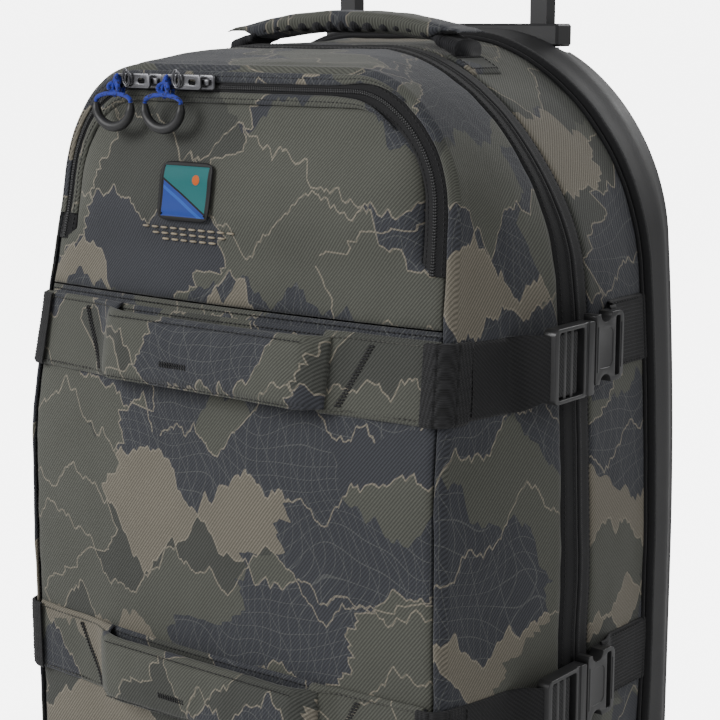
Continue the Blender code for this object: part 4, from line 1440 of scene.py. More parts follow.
def make_clip(level, z, name, side):
    """The male half: a ladder frame with a bar for the webbing, and two sprung prongs."""
    body = "buckle_clip_%s_%s" % (level, name)
    middle = z + CLIP_RISE
    high = 0.0215
    y0, y1 = CLIP_Y
    outline = rounded_outline(y0, y1, middle - high, middle + high, (0.0040, 0.0016, 0.0016, 0.0040))
    window = rounded_outline(y0 + 0.0042, y1 - 0.0118, middle - 0.0192, middle + 0.0192, 0.0016, 4)
    step = rounded_outline(y1 - 0.0096, y1 - 0.0066, middle - high - 0.002, middle + high + 0.002, 0.0005, 2)
    inner, outer = BUCKLE_INNER, BUCKLE_OUTER
    frame_piece = slab("buckle_ladder_%s_%s" % (level, name), outline, inner, outer - 0.0004, PLASTIC,
                       0.0011, 3, ((window, inner - 0.002, outer + 0.002),
                                   (step, outer - 0.0014, outer + 0.002)), side)
    fitted(frame_piece, body, "clip_%s_%s" % (level, name))
    for number, y in enumerate((y0 + 0.0128, y0 + 0.0200)):
        bar = slab("buckle_bar_%s_%s_%d" % (level, name, number),
                   rounded_outline(y - 0.0016, y + 0.0016, middle - 0.0200, middle + 0.0200, 0.0012, 4),
                   inner + 0.0022, outer - 0.0020, PLASTIC, 0.0006, 2, (), side)
        fitted(bar, body)
    # Prongs: each bows out into a scallop of the socket, and ends in a barbed tip
    x = side * (inner + outer) / 2
    for number, sign in enumerate((-1, 1)):
        path = []
        for t in spread(0.0, 1.0, 26):
            y = mix(y1 - 0.004, y1 + 0.0145, t)
            bow = 0.0130 + 0.0052 * math.sin(math.pi * min(t * 1.15, 1.0)) ** 1.4
            path.append(Vector((x, y, middle + (SOCKET_RISE - CLIP_RISE) * t + sign * bow)))
        prong = curve_tube("buckle_prong_%s_%s_%d" % (level, name, number), path, 0.0021, PLASTIC,
                           lambda t: 1.0 + 0.35 * smooth((t - 0.75) / 0.2) - 0.8 * smooth((t - 0.93) / 0.07))
        fitted(prong, body)
    tongue = slab("buckle_tongue_%s_%s" % (level, name),
                  rounded_outline(y1 - 0.002, 0.0035, middle - 0.006, middle + 0.006,
                                  (0.001, 0.003, 0.003, 0.001), 4),
                  inner + 0.0032, outer - 0.0032, PLASTIC, 0.0005, 2, (), side)
    fitted(tongue, body)


def webbing_strip(stations, heights, point_at, rib=0.0):
    """Webbing as a grid with its own woven ribs. stations run along it, heights across it."""
    rows = []
    low, high = heights
    for share in (-1.0, -0.985, -0.96) + tuple(spread(-0.92, 0.92, 47)) + (0.96, 0.985, 1.0):
        height = mix(low, high, (share + 1) / 2)
        edge = (high - low) / 2 * (1 - abs(share))
        row = []
        for number, along in enumerate(stations):
            lift = 0.0003 + 0.0013 * smooth(edge / 0.0012)
            lift += rib * math.sin(2 * math.pi * (number / 4.0 + share * 9.0))
            row.append(point_at(along, height, lift))
        rows.append(row)
    return rows


def corner_point(side, s, z, lift):
    """A point at a distance round the front corner: on the front before it, on the side after it."""
    half, radius = side_x(FRONT, z), 0.005
    face = FRONT + front_lean(z)
    if s <= -radius:
        x, y, turn = half + s, front_y(half + s, z), 0.0
    elif s >= radius:
        x, y, turn = side_x(FRONT + s, z), face + s, math.pi / 2
    else:
        turn = (s + radius) / (2 * radius) * math.pi / 2
        x = half - radius + radius * math.sin(turn)
        y = face + radius - radius * math.cos(turn)
    rise = lift + relief(Vector((side * x, y, z)))
    return Vector((side * (x + rise * math.sin(turn)), y - rise * math.cos(turn), z))


def make_strap(level, z, name, side):
    """From the front corner into the ladder frame."""
    def at(y, height, lift):
        point = flank_point(side, y, height, lift)
        toward = smooth((y + 0.068) / 0.018)
        rise = toward * (BUCKLE_INNER + 0.0052 + lift - abs(point.x))
        point.x += side * rise
        point.z += toward * CLIP_RISE
        return point

    low, high = z - 0.0215, z + 0.0215
    stations = spread(-0.1105, -0.0275, 150)
    rows = webbing_strip(
        stations, (low, high),
        lambda y, h, l: at(y, mix(h, z + (h - z) * 0.86, smooth((y + 0.062) / 0.01)), l), rib=0.00012)
    if side < 0:
        rows = [row[::-1] for row in rows]
    strap = strip("side_strap_%s_%s" % (level, name), rows, WEBBING, lambda i, j, p: (p.y, p.z), 0.0011)
    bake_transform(strap)
    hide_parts("strap_%s_%s" % (level, name))
    # The ribbed end over it, from the band on the front round the corner
    collar = webbing_strip(spread(-0.0130, 0.0150, 84), (low - 0.0012, high + 0.0012),
                           lambda s, h, l: corner_point(side, s, h,
                                                        l + mix(0.0038, 0.0014, smooth((s + 0.008) / 0.010))
                                                        + 0.0003 * math.sin(2 * math.pi * (h - z) / 0.0021)))
    if side < 0:
        collar = [row[::-1] for row in collar]
    cover = strip("strap_collar_%s_%s" % (level, name), collar, RIBBED, lambda i, j, p: (p.y - p.x, p.z),
                  0.0009)
    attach(cover, "lid")
    line = [(flank_point(side, -0.0990, h, 0.0020), Vector((side, 0, 0)))
            for h in spread(low + 0.002, high - 0.002, 30)]
    stitches("strap_stitches_%s_%s" % (level, name), [line], THREAD, "lid", pitch=0.0030,
                     length=0.0023, radius=0.0004)


def make_rear_web(level, z, name, side):
    middle = z + REAR_WEB_RISE

    def at(y, height, lift):
        point = flank_point(side, y, height, lift)
        ahead = 1.0 - smooth((y - 0.020) / 0.014)
        point.x += side * ahead * max(BUCKLE_INNER + 0.0020 + lift - abs(point.x), 0.0)
        return point

    rows = webbing_strip(spread(0.0150, 0.0745, 110), (middle - 0.0205, middle + 0.0205),
                         lambda y, h, l: at(
                             y, h, l + 0.00018 * math.sin(2 * math.pi * (h - middle) / 0.0022)))
    if side < 0:
        rows = [row[::-1] for row in rows]
    web = strip("rear_webbing_%s_%s" % (level, name), rows, RIBBED, lambda i, j, p: (p.z, p.y), 0.0011)
    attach(web, "bag")
    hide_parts("rear_web_%s_%s" % (level, name))
    tack = [[(flank_point(side, y, middle + s * 0.0185, 0.0021), Vector((side, 0, 0)))
             for y in spread(0.030, 0.066, 30)]
            for s in (-1, 1)]
    stitches("rear_webbing_stitches_%s_%s" % (level, name), tack, THREAD, "bag", pitch=0.0030,
                     length=0.0022, radius=0.0003)


for gear_level, gear_z in LEVELS:
    for side_name, side_sign in SIDES:
        make_strap(gear_level, gear_z, side_name, side_sign)
        make_rear_web(gear_level, gear_z, side_name, side_sign)
        make_socket(gear_level, gear_z, side_name, side_sign)
        make_clip(gear_level, gear_z, side_name, side_sign)


# The tub: shell, piping, boot and linings -----------------------------------------------------------

SHELL_BLACK = moulded("shell black", (0.017, 0.017, 0.018), 0.55, 900.0, 0.00012, 0.30)


def closed_ring(y, inset):
    low = BODY_BOTTOM + BOTTOM_RADIUS
    arch = arch_outline(y, inset, low, (56, 34, 24))
    under = floor_outline(y, inset, low, (1, 12, 24))
    return leaned(y, arch + under[1:-1])


def make_back_shell():
    """A moulded tub: side wall, rounded rear edge and a ribbed rear face, hollow inside."""
    depths = spread(0.0782, 0.108, 10) + [0.112, 0.115, 0.118, 0.1205, 0.1228, 0.1248, 0.1265, 0.1278,
                                          0.1288, 0.1296, 0.13]
    outer = [closed_ring(y, 0.0) for y in depths]
    shares = spread(0.985, 0.04, 60)
    face = []
    for share in shares:
        ring = []
        for p in outer[-1]:
            x, z = p.x * share, MIDDLE_Z + (p.z - MIDDLE_Z) * share
            sunk = 0.0016 * smooth((0.93 - share) / 0.02)
            groove = sum(math.exp(-((abs(x) - at) / 0.0035) ** 2) for at in (0.030, 0.085))
            inside = smooth((0.88 - share) / 0.03)
            ring.append(Vector((x, 0.13 - sunk - 0.0013 * groove * inside, z)))
        face.append(ring)
    inner_depths = (0.1265, 0.118, 0.105, 0.0782)
    back = [[Vector((p.x * s, 0.1262, MIDDLE_Z + (p.z - MIDDLE_Z) * s)) for p in outer[-1]]
            for s in (0.06, 0.5, 0.9)]
    inner = [closed_ring(y, 0.0028) for y in inner_depths]
    rings = outer + face + back + inner
    columns = len(rings[0])
    vertices = [p for ring in rings for p in ring]
    faces = []
    count = len(rings)
    cap_after = len(outer) + len(face) - 1
    for i in range(count):
        if i == cap_after:
            continue
        n = (i + 1) % count
        for j in range(columns):
            k = (j + 1) % columns
            faces.append((i * columns + j, i * columns + k, n * columns + k, n * columns + j))
    faces.append(tuple(cap_after * columns + j for j in range(columns)))
    faces.append(tuple((cap_after + 1) * columns + j for j in reversed(range(columns))))
    shell = mesh_object("shell_tub", vertices, faces, SHELL_BLACK)
    recalculated(shell)
    slot_box = bent_box("slot", (0.1906, 0.0186, 0.13), (0.0, 0.112, 0.635), SHELL_BLACK)
    clipped(shell, *well_cutters(), slot_box)
    shell.data.shade_smooth()
    shell.data.set_sharp_from_angle(angle=math.radians(40.0))
    fitted(shell, "bag", "back_shell")
    # Raised rear ribs, sunk between the grooves
    for number, x in enumerate((-0.0575, 0.0, 0.0575)):
        rib = bent_box("shell_rib_%d" % number, (0.012, 0.0022, 0.38), (x, 0.1284, 0.315), SHELL_BLACK,
                       0.001, 3)
        fitted(rib, "bag")


def make_piping():
    """Two twisted ribs of braid over the seam between the gusset and the shell."""
    spine = leaned(PIPING_Y, arch_outline(PIPING_Y, 0.0, 0.086, (70, 60, 40)))
    path = resample(spine, 0.0012)
    for name, depth, radius, out in (("braid", 0.0005, 0.0036, 0.0014), ("rib", -0.0052, 0.0013, 0.0006)):
        rings = []
        for i, point in enumerate(path):
            along = (path[min(i + 1, len(path) - 1)] - path[max(i - 1, 0)]).normalized()
            normal = Vector((along.z, 0.0, -along.x)).normalized()
            centre = point + normal * (out + relief(point) * 0.5) + Vector((0, depth, 0))
            ring = []
            for turn in turns(20):
                weave = 1.0 + 0.055 * math.sin(3 * turn + i * 1.05) * math.sin(3 * turn - i * 1.05)
                ring.append(centre + radius * weave * (math.cos(turn) * normal
                                                       + math.sin(turn) * Vector((0, 1, 0))))
            rings.append(ring)
        vertices, faces = sweep(rings)
        lengths = [i * 0.0012 for i in range(len(path))]
        uvs = [(lengths[n // 20], radius * 2 * math.pi * (n % 20) / 20) for n in range(len(vertices))]
        piece = mesh_object("piping_" + name, vertices, faces, BINDING, uvs)
        fitted(piece, "bag")
        if name == "braid":
            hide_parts("piping")


def make_boot():
    """The floor of the front half, folded up over the corners and the front edge."""
    high = SPLIT_Z - 0.0005
    depths = spread(ZIP_REAR - 0.0003, FRONT + 0.0055, 24)
    rows = [leaned(y, floor_outline(y, 0.0, high, (8, 14, 60))) for y in depths]
    for inset, back in ((0.0008, 0.0026), (0.0022, 0.0008), (0.0040, 0.0), (0.0058, -0.0003)):
        ring = []
        for x, z in floor_outline(FRONT, inset, high, (8, 14, 60)):
            ring.append(Vector((x, front_y(x, z) + back, z)))
        rows.append(ring)
    for share in spread(0.93, 0.05, 10):
        ring = []
        for x, z in floor_outline(FRONT, 0.0058, high, (8, 14, 60)):
            x, z = x * share, high + (z - high) * share
            ring.append(Vector((x, front_y(x, z) - 0.0003, z)))
        rows.append(ring)
    grid = lifted(rows, lambda i, j, p: relief(p) * 0.6)
    lengths = arch_lengths(rows[0])
    boot = grid_object("floor_boot", grid, lambda i, j, p: (0.0019 * i, lengths[j]), CAMO_SIDE)
    thicken(boot, FABRIC, LINING)
    baked(boot)
    fitted(boot, "bag", "base_boot")
    rows = [leaned(y, floor_outline(y, 0.0, 0.0792, (8, 14, 60)))
            for y in spread(PIPING_Y + 0.0010, ZIP_REAR + 0.0003, 20)]
    grid = lifted(rows, lambda i, j, p: relief(p) * 0.6)
    under = grid_object("floor_rear", grid, lambda i, j, p: (p.y + 3.0, lengths[j]), CAMO_REAR)
    thicken(under, FABRIC, LINING)
    baked(under)
    clipped(under, *well_cutters())
    fitted(under, "bag")


def make_well_sleeves():
    """Cloth sleeves that close the wheel wells between the housings and the side walls."""
    for name, side in SIDES:
        rows = [[Vector((side * x, WHEEL_Y + SLEEVE_R * math.cos(t), WHEEL_R + SLEEVE_R * math.sin(t)))
                 for t in spread(*SLEEVE_SPAN, 60)] for x in spread(0.1292, 0.1836, 14)]
        if side < 0:
            rows.reverse()
        sleeve = grid_object("well_sleeve_" + name, rows, lambda i, j, p: (p.x, p.y + p.z), LINING)
        thicken(sleeve, 0.0009)
        recalculated(baked(sleeve))
        fitted(sleeve, "bag")


make_back_shell()
make_piping()
make_boot()
make_well_sleeves()


# Top handle -----------------------------------------------------------------------------------------

def top_z(x, y):
    """Height of the body's top over a point."""
    half, top, radius, _lean = section(y)
    past = abs(x) / taper(top) - (half - radius)
    if past <= 0:
        return top
    return top - radius + math.sqrt(max(radius ** 2 - past ** 2, 0.0))


HANDLE_Y = 0.012


def handle_profile(x):
    """The handle's seat, underside and top over x."""
    seat = top_z(x, 0.030) + 0.0014
    rise = 1.0 - smooth((abs(x) - 0.050) / 0.034)
    under = mix(seat, 0.5955, rise)
    over = max(0.6085 - 0.0045 * (x / 0.054) ** 2, under + 0.0032)
    return seat, under, over


def oval_sweep(name, stations, oval_at, material, sides=28, squareness=0.7):
    """A closed form from ovals in Y and Z: oval_at(x) gives centre y and z, and half sizes in each."""
    rings = []
    for x in stations:
        cy, cz, ry, rz = oval_at(x)
        ring = []
        for turn in turns(sides):
            ring.append(Vector((x, cy + ry * squared(math.cos(turn), squareness),
                                cz + rz * squared(math.sin(turn), squareness))))
        rings.append(ring)
    vertices, faces = sweep(rings)
    return recalculated(mesh_object(name, vertices, faces, material))


def make_top_handle():
    def cover(x):
        _seat, _under, over = handle_profile(x)
        thick = 0.0042 * (1 - smooth((abs(x) - 0.066) / 0.016)) + 0.0012
        return HANDLE_Y, over - thick, 0.0155, thick

    pad = oval_sweep("top_handle_cover", spread(-0.0930, 0.0930, 60), cover, CAMO_HANDLE, 32, 0.6)
    padded_shape(pad, 0.0022, 0.0018)
    softened(pad)
    for vertex in pad.data.vertices:
        p = vertex.co
        edge = 0.0160 - abs(p.y - HANDLE_Y)
        vertex.co.z -= 0.0007 * math.exp(-((edge - 0.0030) / 0.0008) ** 2)
        vertex.co.z += 0.0006 * noise.noise(Vector((p.x * 60, p.y * 60, 8.0)))
    print_from_place(pad, lambda p: (p.x + 0.30, p.y * 1.1 + 0.22))
    fitted(pad, "bag", "top_handle")

    def under_part(x):
        _seat, under, over = handle_profile(x)
        low, high = under, over - 0.0052
        return HANDLE_Y, (low + high) / 2, 0.0138, max((high - low) / 2, 0.0012)

    rings = []
    for x in spread(-0.0895, 0.0895, 180):
        cy, cz, ry, rz = under_part(x)
        gather = 0.0009 * math.sin(2 * math.pi * x / 0.0105 + 1.6 * noise.noise(Vector((x * 40, 0, 0))))
        fade = 1.0 - smooth((abs(x) - 0.070) / 0.016)
        ring = []
        for turn in turns(24):
            swell = 1.0 + fade * (gather / 0.010 + 0.05 * noise.noise(Vector((x * 90, turn, 3.0))))
            ring.append(Vector((x, cy + ry * swell * squared(math.cos(turn), 0.65),
                                cz + rz * (1.0 + fade * gather / 0.006) * squared(math.sin(turn), 0.7))))
        rings.append(ring)
    vertices, faces = sweep(rings)
    uvs = [(v.x, math.atan2(v.z - 0.598, v.y - HANDLE_Y) * 0.010) for v in vertices]
    under = recalculated(mesh_object("top_handle_underside", vertices, faces, MESH, uvs))
    fitted(under, "bag")

    for name, side in SIDES:
        # The sewn foot: a folded end with a square of stitches and a bartack
        rows = []
        for y in spread(HANDLE_Y + 0.0152, HANDLE_Y - 0.0152, 24):
            row = []
            for x in spread(0.0840, 0.1035, 24):
                edge = min(0.0152 - abs(y - HANDLE_Y), 0.1035 - x)
                slope = top_z(x, y)
                row.append(Vector((side * x, y, slope + 0.0008 + 0.0022 * smooth(edge / 0.0018))))
            rows.append(row if side > 0 else row[::-1])
        foot = strip("top_handle_foot_" + name, rows[::-1], CAMO_HANDLE, lambda i, j, p: (p.x, p.y), 0.0012)
        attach(foot, "bag")

        def on_foot(x, y):
            return Vector((side * x, y, top_z(x, y) + 0.0031)), Vector((0.25 * side, 0.0, 1.0)).normalized()

        square = []
        corners = ((0.0860, -0.0130), (0.1015, -0.0130), (0.1015, 0.0130), (0.0860, 0.0130),
                   (0.0860, -0.0130))
        for (x0, y0), (x1, y1) in zip(corners, corners[1:]):
            square += [on_foot(mix(x0, x1, t), HANDLE_Y + mix(y0, y1, t)) for t in spread(0.0, 1.0, 14)]
        bars = [[on_foot(x, HANDLE_Y + y) for y in spread(-0.0125, 0.0125, 20)] for x in (0.0885, 0.0900)]
        stitches("top_handle_stitches_" + name, [square], THREAD, "bag", pitch=0.0030, length=0.0024,
                         radius=0.0003)
        stitches("top_handle_bartack_" + name, bars, THREAD, "bag", pitch=0.0019, length=0.0024,
                         radius=0.00045, slant=0.9)


make_top_handle()


# Sliders, tabs and the patch ------------------------------------------------------------------------

def plate_xz(name, outline, y0, y1, material, bevel=0.0004, holes=()):
    """An outline in X and Z made solid from y0 to y1, with holes through it."""
    cuts = [(points, (y0 - 0.002, y1 + 0.002)) for points in holes]
    return cut_solid(name, outline, lambda x, z, y: (x, y, z), (y0, y1), material, bevel, 3, cuts)


def make_pocket_sliders():
    for name, x in PULLS:
        end = x - TAB_LENGTH
        body_outline = rounded_outline(x - 0.0068, x + 0.0068, PULL_Z - 0.0046, PULL_Z + 0.0046, 0.0022, 6)
        slider = plate_xz("slider_body_" + name, body_outline, -0.0972, -0.0951, GUNMETAL, 0.0009)
        fitted(slider, "slider_" + name, "pocket_slider_" + name)
        bridge = plate_xz("slider_bridge_" + name,
                          rounded_outline(x - 0.0050, x + 0.0044, PULL_Z - 0.0019, PULL_Z + 0.0019,
                                          0.0012, 5), -0.0995, -0.0968, GUNMETAL, 0.0007)
        fitted(bridge, "slider_" + name)
        tab_outline = rounded_outline(end - 0.0040, x + 0.0003, PULL_Z - 0.0045, PULL_Z + 0.0045, 0.0024, 6)
        eye = rounded_outline(end - 0.0018, end + 0.0042, PULL_Z - 0.0024, PULL_Z + 0.0024, 0.0018, 6)
        lock = rounded_outline(end + 0.0080, end + 0.0128, PULL_Z - 0.0024, PULL_Z + 0.0024, 0.0022, 6)
        slot_hole = rounded_outline(x - 0.0096, x - 0.0040, PULL_Z - 0.0016, PULL_Z + 0.0016, 0.0013, 5)
        tab = plate_xz("pull_plate_" + name, tab_outline, TAB_Y - 0.0008, TAB_Y + 0.0008, GUNMETAL, 0.0004,
                       (eye, lock, slot_hole))
        fitted(tab, "pull_" + name, "pull_tab_" + name)
        for number, shift in enumerate((0.0, 0.0011)):
            points = [Vector((end + 0.0104 + 0.0030 * math.cos(t) * 0.9, TAB_Y - 0.0022 - shift * 0.6,
                              PULL_Z + 0.0012 + shift + 0.0048 * math.sin(t)))
                      for t in turns(28, True)]
            ring = curve_tube("pull_ring_%s_%d" % (name, number), points, 0.00055, GUNMETAL)
            fitted(ring, "pull_" + name)


def make_main_slider():
    """The slider on the left side, with its plate pull hanging down."""
    z = 0.335
    body = slab("main_slider_body", rounded_outline(ZIP_SLIT - 0.0055, ZIP_SLIT + 0.0055, z - 0.0075,
                                                    z + 0.0075, 0.0030, 6),
                0.1857, 0.1874, GUNMETAL, 0.0006, 3, (), -1)
    fitted(body, "zip_slider", "main_slider")
    bridge = slab("main_slider_bridge", rounded_outline(ZIP_SLIT - 0.0018, ZIP_SLIT + 0.0018, z - 0.0050,
                                                        z + 0.0050, 0.0012, 5),
                  0.1868, 0.1893, GUNMETAL, 0.0007, 3, (), -1)
    fitted(bridge, "zip_slider")
    plate = rounded_outline(ZIP_SLIT - 0.0044, ZIP_SLIT + 0.0044, z - 0.034, z + 0.0010,
                            (0.0040, 0.0040, 0.0015, 0.0015), 6)
    eye = rounded_outline(ZIP_SLIT - 0.0022, ZIP_SLIT + 0.0022, z - 0.0315, z - 0.0250, 0.0018, 6)
    lock = rounded_outline(ZIP_SLIT - 0.0021, ZIP_SLIT + 0.0021, z - 0.0180, z - 0.0135, 0.0019, 6)
    pull = slab("main_pull_plate", plate, 0.1893, 0.1907, GUNMETAL, 0.0004, 2,
                ((eye, 0.18, 0.20), (lock, 0.18, 0.20)), -1)
    fitted(pull, "zip_pull", "main_pull")


def patch_face():
    """A moulded badge with a plain abstract mark: two slanting fields and a round spot."""
    shade = Shade("badge rubber", (0.012, 0.012, 0.013), 0.55, specular=0.22)
    u, v = shade.print_uv()
    inside = shade.mul(shade.below(shade.math("ABSOLUTE", u), 0.0180),
                        shade.below(shade.math("ABSOLUTE", v), 0.0150))
    slope = shade.mad(u, 0.55, v)
    field = shade.blend(shade.above(slope, -0.0030), (0.012, 0.045, 0.26),
                        (0.006, 0.120, 0.125))
    edge = shade.below(shade.math("ABSOLUTE", shade.add(slope, 0.0030)), 0.0008)
    field = shade.blend(edge, field, (0.012, 0.012, 0.013))
    stripe = shade.below(shade.math("ABSOLUTE", shade.add(slope, 0.0075)), 0.0011)
    field = shade.blend(stripe, field, (0.020, 0.090, 0.40))
    far = shade.math("SQRT", shade.add(shade.math("POWER", shade.sub(u, 0.0085), 2.0),
                                        shade.math("POWER", shade.sub(v, 0.0072), 2.0)))
    field = shade.blend(shade.below(far, 0.0030), field, (0.50, 0.10, 0.012))
    colour = shade.blend(inside, (0.012, 0.012, 0.013), field)
    grain = shade.noise(shade.place(), 2200.0, 2.0)
    shade.set("Base Color", colour)
    shade.set("Normal", shade.bump(grain, 0.00005, 0.6))
    return shade.material


def make_patch():
    (x0, z0), (x1, z1) = (-0.054, 0.4845), (-0.011, 0.5195)
    cx, cz = (x0 + x1) / 2, (z0 + z1) / 2
    half_x, half_z = (x1 - x0) / 2, (z1 - z0) / 2
    columns, rows = 90, 78
    grid = []
    for i in range(rows):
        row = []
        for j in range(columns):
            a, b = 2 * j / (columns - 1) - 1, 2 * i / (rows - 1) - 1
            # a square grid with rounded corners
            r = 0.10
            squash = 1.0 - r * (abs(a) * abs(b)) ** 6
            px, pz = a * half_x * squash, b * half_z * squash
            rim = min(half_x - abs(a) * half_x, half_z - abs(b) * half_z)
            lift = 0.0022 - 0.0006 * smooth((rim - 0.0022) / 0.0007)
            lift -= 0.0004 * (1 - smooth(rim / 0.0006))
            slope = pz + 0.55 * px
            if rim > 0.0030:
                lift += 0.0004 * smooth((slope + 0.0030) / 0.0006)
                lift += 0.0004 * smooth((0.0033 - math.hypot(px - 0.0085, pz - 0.0072)) / 0.0006)
            row.append(face_point(cx + px, cz + pz, lift + 0.0018 + puff(cx + px, cz + pz)))
        grid.append(row)
    badge = grid_object("badge", grid, lambda i, j, p: (p.x - cx, p.z - cz), patch_face())
    thicken(badge, 0.0034)
    baked(badge)
    fitted(badge, "pocket", "patch")
    tan = moulded("tan thread", (0.28, 0.235, 0.170), 0.6, 2500.0, 0.00005, 0.3)
    lines = []
    for number, z in enumerate((0.4795, 0.4760, 0.4725)):
        wide = 0.0400 - 0.008 * number
        lines.append([(face_point(x, z, 0.0016 + puff(x, z)), AHEAD)
                      for x in spread(-0.0300 - wide, -0.0300 + wide, 60)])
    stitches("badge_dashes", lines, tan, "pocket", pitch=0.0078, length=0.0060, radius=0.0006)


make_pocket_sliders()
make_main_slider()
make_patch()


# Inside: the pocket's tray and the rear partition ---------------------------------------------------

def make_pocket_tray():
    low = 0.4635
    arch = front_ring(0.0112, low)
    left_end, right_end = arch[-1], arch[0]
    bottom = [left_end.lerp(right_end, t) for t in spread(0.0, 1.0, 42)][1:-1]
    ring = arch + [Vector((p.x, front_y(p.x, p.z), p.z)) for p in bottom]
    rows = [[Vector((p.x, mix(p.y + 0.0075, -0.0735, t), p.z)) for p in ring] for t in spread(0.0, 1.0, 12)]
    for share in spread(0.96, 0.04, 16):
        rows.append([Vector((p.x * share, -0.0735, 0.515 + (p.z - 0.515) * share)) for p in ring])
    grid = lifted(rows, lambda i, j, p: 0.0006 * noise.noise(p * 30) + 0.0004 * noise.noise(p * 80),
                  wrap=True)
    tray = grid_object("pocket_tray", grid, lambda i, j, p: (p.x + p.y, p.z), LINING, wrap=True)
    thicken(tray, 0.0008)
    baked(tray)
    fitted(tray, "lid", "pocket_liner")


def make_partition():
    """The lining that closes off the handle's tubes."""
    ring = closed_ring(0.0985, 0.0075)
    rows = []
    for share in spread(1.0, 0.03, 34):
        row = [Vector((p.x * share, 0.0985, MIDDLE_Z + (p.z - MIDDLE_Z) * share)) for p in ring]
        # Cut away round the wheel wells
        rows.append([Vector((p.x, p.y, max(p.z, 0.0815))) if abs(p.x) > 0.1275 else p for p in row])

    def billow(i, j, p):
        edge = smooth(i / 8)
        return edge * (0.0007 * noise.noise(p * 14) + 0.0005 * noise.noise(p * 45))

    grid = lifted(rows, billow, wrap=True)
    panel = grid_object("rear_partition", grid, lambda i, j, p: (p.x, p.z), LINING, wrap=True)
    thicken(panel, 0.0008)
    baked(panel)
    fitted(panel, "bag", "rear_lining")
    # Crossed packing straps
    for number, tilt in enumerate((1, -1)):
        rows = []
        for s in spread(-0.0125, 0.0125, 9):
            row = []
            for t in spread(-1.0, 1.0, 60):
                x, z = 0.150 * t + s * 0.6 * -tilt, MIDDLE_Z + tilt * 0.150 * t + s
                row.append(Vector((x, 0.0962 - 0.0012 * number - 0.0004 * (1 - t * t), z)))
            rows.append(row)
        strap = strip("packing_strap_%d" % number, rows, RIBBED, lambda i, j, p: (p.x, p.z), 0.0007)
        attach(strap, "bag")


make_pocket_tray()
make_partition()


# Wheels, housings, foot and handle ------------------------------------------------------------------

def lathe(name, profile, side, material, sides=96, wave=None):
    """A closed profile of (x, radius) pairs turned about the wheel's axis."""
    rings = []
    for turn in turns(sides):
        ring = []
        for n, (x, radius) in enumerate(profile):
            r = radius + (wave(n, turn) if wave else 0.0)
            ring.append(Vector((side * x, WHEEL_Y + r * math.cos(turn), WHEEL_R + r * math.sin(turn))))
        rings.append(ring)
    columns = len(profile)
    vertices = [p for ring in rings for p in ring]
    faces = []
    for i in range(sides):
        n = (i + 1) % sides
        for j in range(columns):
            k = (j + 1) % columns
            faces.append((i * columns + j, i * columns + k, n * columns + k, n * columns + j))
    return recalculated(mesh_object(name, vertices, faces, material, smooth_angle=40.0))


TYRE = moulded("tyre rubber", (0.018, 0.018, 0.019), 0.75, 900.0, 0.00008, 0.4)
HUB = moulded("hub plastic", (0.070, 0.070, 0.075), 0.42, 1500.0, 0.00003, 0.3)
AXLE = moulded("axle steel", (0.42, 0.42, 0.43), 0.28, 1500.0, 0.00002, 0.3, metallic=1.0)
HOUSING = moulded("housing plastic", (0.022, 0.022, 0.023), 0.55, 1100.0, 0.00008, 0.35)
TUBE_BLACK = moulded("tube black", (0.011, 0.011, 0.012), 0.40, 2200.0, 0.00001, 0.20, specular=0.45)
HANDLE_PLASTIC = moulded("handle plastic", (0.011, 0.011, 0.012), 0.50, 1400.0, 0.00005, 0.3)
FRAME_METAL = moulded("frame metal", (0.30, 0.30, 0.31), 0.36, 1600.0, 0.00002, 0.3, metallic=1.0)


def make_wheel(name, side):
    hub_r = 0.0265
    half = 0.012
    low, high = WHEEL_X - half, WHEEL_X + half
    profile = [(low, hub_r + 0.0003), (low, 0.0310)]
    for i in range(9):
        turn = math.pi / 2 * i / 8
        profile.append((low + 0.0045 - 0.0045 * math.cos(turn), WHEEL_R - 0.0045 + 0.0045 * math.sin(turn)))
    for x in spread(low + 0.0052, high - 0.0052, 9):
        groove = 0.0007 if abs(abs(x - WHEEL_X) - 0.0030) < 0.0010 else 0.0
        profile.append((x, WHEEL_R - groove))
    for i in range(9):
        turn = math.pi / 2 * i / 8
        profile.append((high - 0.0045 + 0.0045 * math.sin(turn), WHEEL_R - 0.0045 + 0.0045 * math.cos(turn)))
    profile += [(high, 0.0310), (high, hub_r + 0.0003)]
    tyre = lathe("tyre_cover_" + name, profile, side, TYRE)
    fitted(tyre, "wheel_" + name, "tyre_" + name)
    bore = 0.0036
    inner = [(low, bore), (low, 0.0100), (low + 0.0006, 0.0110), (high - 0.0006, 0.0110), (high, 0.0100),
             (high, bore)]
    rim = [(low, 0.0226), (low, hub_r), (high, hub_r), (high, 0.0226), (high - 0.0030, 0.0216),
           (low + 0.0030, 0.0216)]
    parts = [lathe("hub_core_" + name, inner, side, HUB), lathe("hub_rim_" + name, rim, side, HUB)]
    disc = [(low + 0.0050, 0.0105), (low + 0.0050, 0.0222), (low + 0.0075, 0.0222), (low + 0.0075, 0.0105)]
    parts.append(lathe("hub_disc_" + name, disc, side, HUB))
    for number in range(6):
        turn = math.pi / 3 * number
        spoke = bent_box("hub_spoke_%s_%d" % (name, number), (0.0180, 0.0126, 0.0038),
                         (side * WHEEL_X, 0.0163, 0.0), HUB, 0.0010, 3)
        spoke.data.transform(Matrix.Translation((0, WHEEL_Y, WHEEL_R)) @ Matrix.Rotation(turn, 4, "X"))
        parts.append(spoke)
    for part in parts:
        fitted(part, "wheel_" + name)
    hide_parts("hub_" + name)
    cap = lathe("axle_cap_" + name, [(high + 0.0002, 0.0002), (high + 0.0002, 0.0058),
                                     (high + 0.0014, 0.0050), (high + 0.0020, 0.0002)], side, AXLE, 48)
    fitted(cap, "bag")


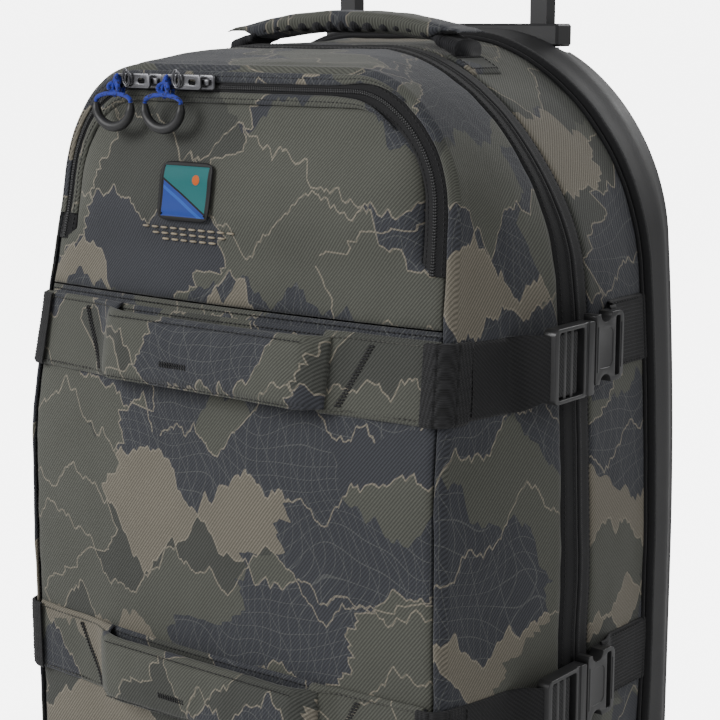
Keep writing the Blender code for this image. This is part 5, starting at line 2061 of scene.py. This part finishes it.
for side_name, side_sign in SIDES:
    make_wheel(side_name, side_sign)


def make_grip():
    """The handle's grip: a soft-cornered bar, rounded off at its ends, with ribs along its underside."""
    low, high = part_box("handle_grip")
    middle = (low + high) / 2
    rings = []
    for x in spread(low.x + 0.0002, high.x - 0.0002, 140):
        edge = min(x - low.x, high.x - x)
        round_off = math.sqrt(max(1.0 - (1.0 - min(edge / 0.0075, 1.0)) ** 2, 0.0))
        tall = (high.z - low.z) / 2 * mix(0.45, 1.0, round_off)
        deep = (high.y - low.y) / 2 * mix(0.45, 1.0, round_off)
        ring = []
        for turn in turns(40):
            a, b = math.cos(turn), math.sin(turn)
            rib = 0.0005 * math.sin(2 * math.pi * x / 0.0075) * smooth((-b - 0.2) / 0.4) * (abs(x) < 0.062)
            ring.append(Vector((x, middle.y + deep * squared(a, 0.55),
                                middle.z + (tall + rib) * squared(b, 0.55))))
        rings.append(ring)
    vertices, faces = sweep(rings)
    grip = recalculated(mesh_object("handle_bar", vertices, faces, HANDLE_PLASTIC))
    button_low, button_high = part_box("release_button")
    ease = 0.0005
    well = bent_box("button_well", (button_high.x - button_low.x + 2 * ease, button_high.y - button_low.y
                                    + 2 * ease, 0.02),
                    (0.0, middle.y, button_low.z - 0.0035 + 0.01), HANDLE_PLASTIC)
    clipped(grip, well)
    grip.data.shade_smooth()
    grip.data.set_sharp_from_angle(angle=math.radians(40.0))
    fitted(grip, "handle_top", "handle_grip")


make_grip()


def finish_node(node, material):
    """Gives a CAD node that stays in view its material."""
    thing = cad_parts[node]
    thing.data.materials.clear()
    thing.data.materials.append(material)


for side_name, _sign in SIDES:
    for node_name, node_material in (("middle_tube_", TUBE_BLACK), ("top_tube_", TUBE_BLACK),
                                     ("wheel_housing_", HOUSING), ("axle_", AXLE)):
        finish_node(node_name + side_name, node_material)
finish_node("handle_frame", FRAME_METAL)
finish_node("handle_bezel", HANDLE_PLASTIC)
finish_node("release_button", HANDLE_PLASTIC)
finish_node("front_foot", HOUSING)
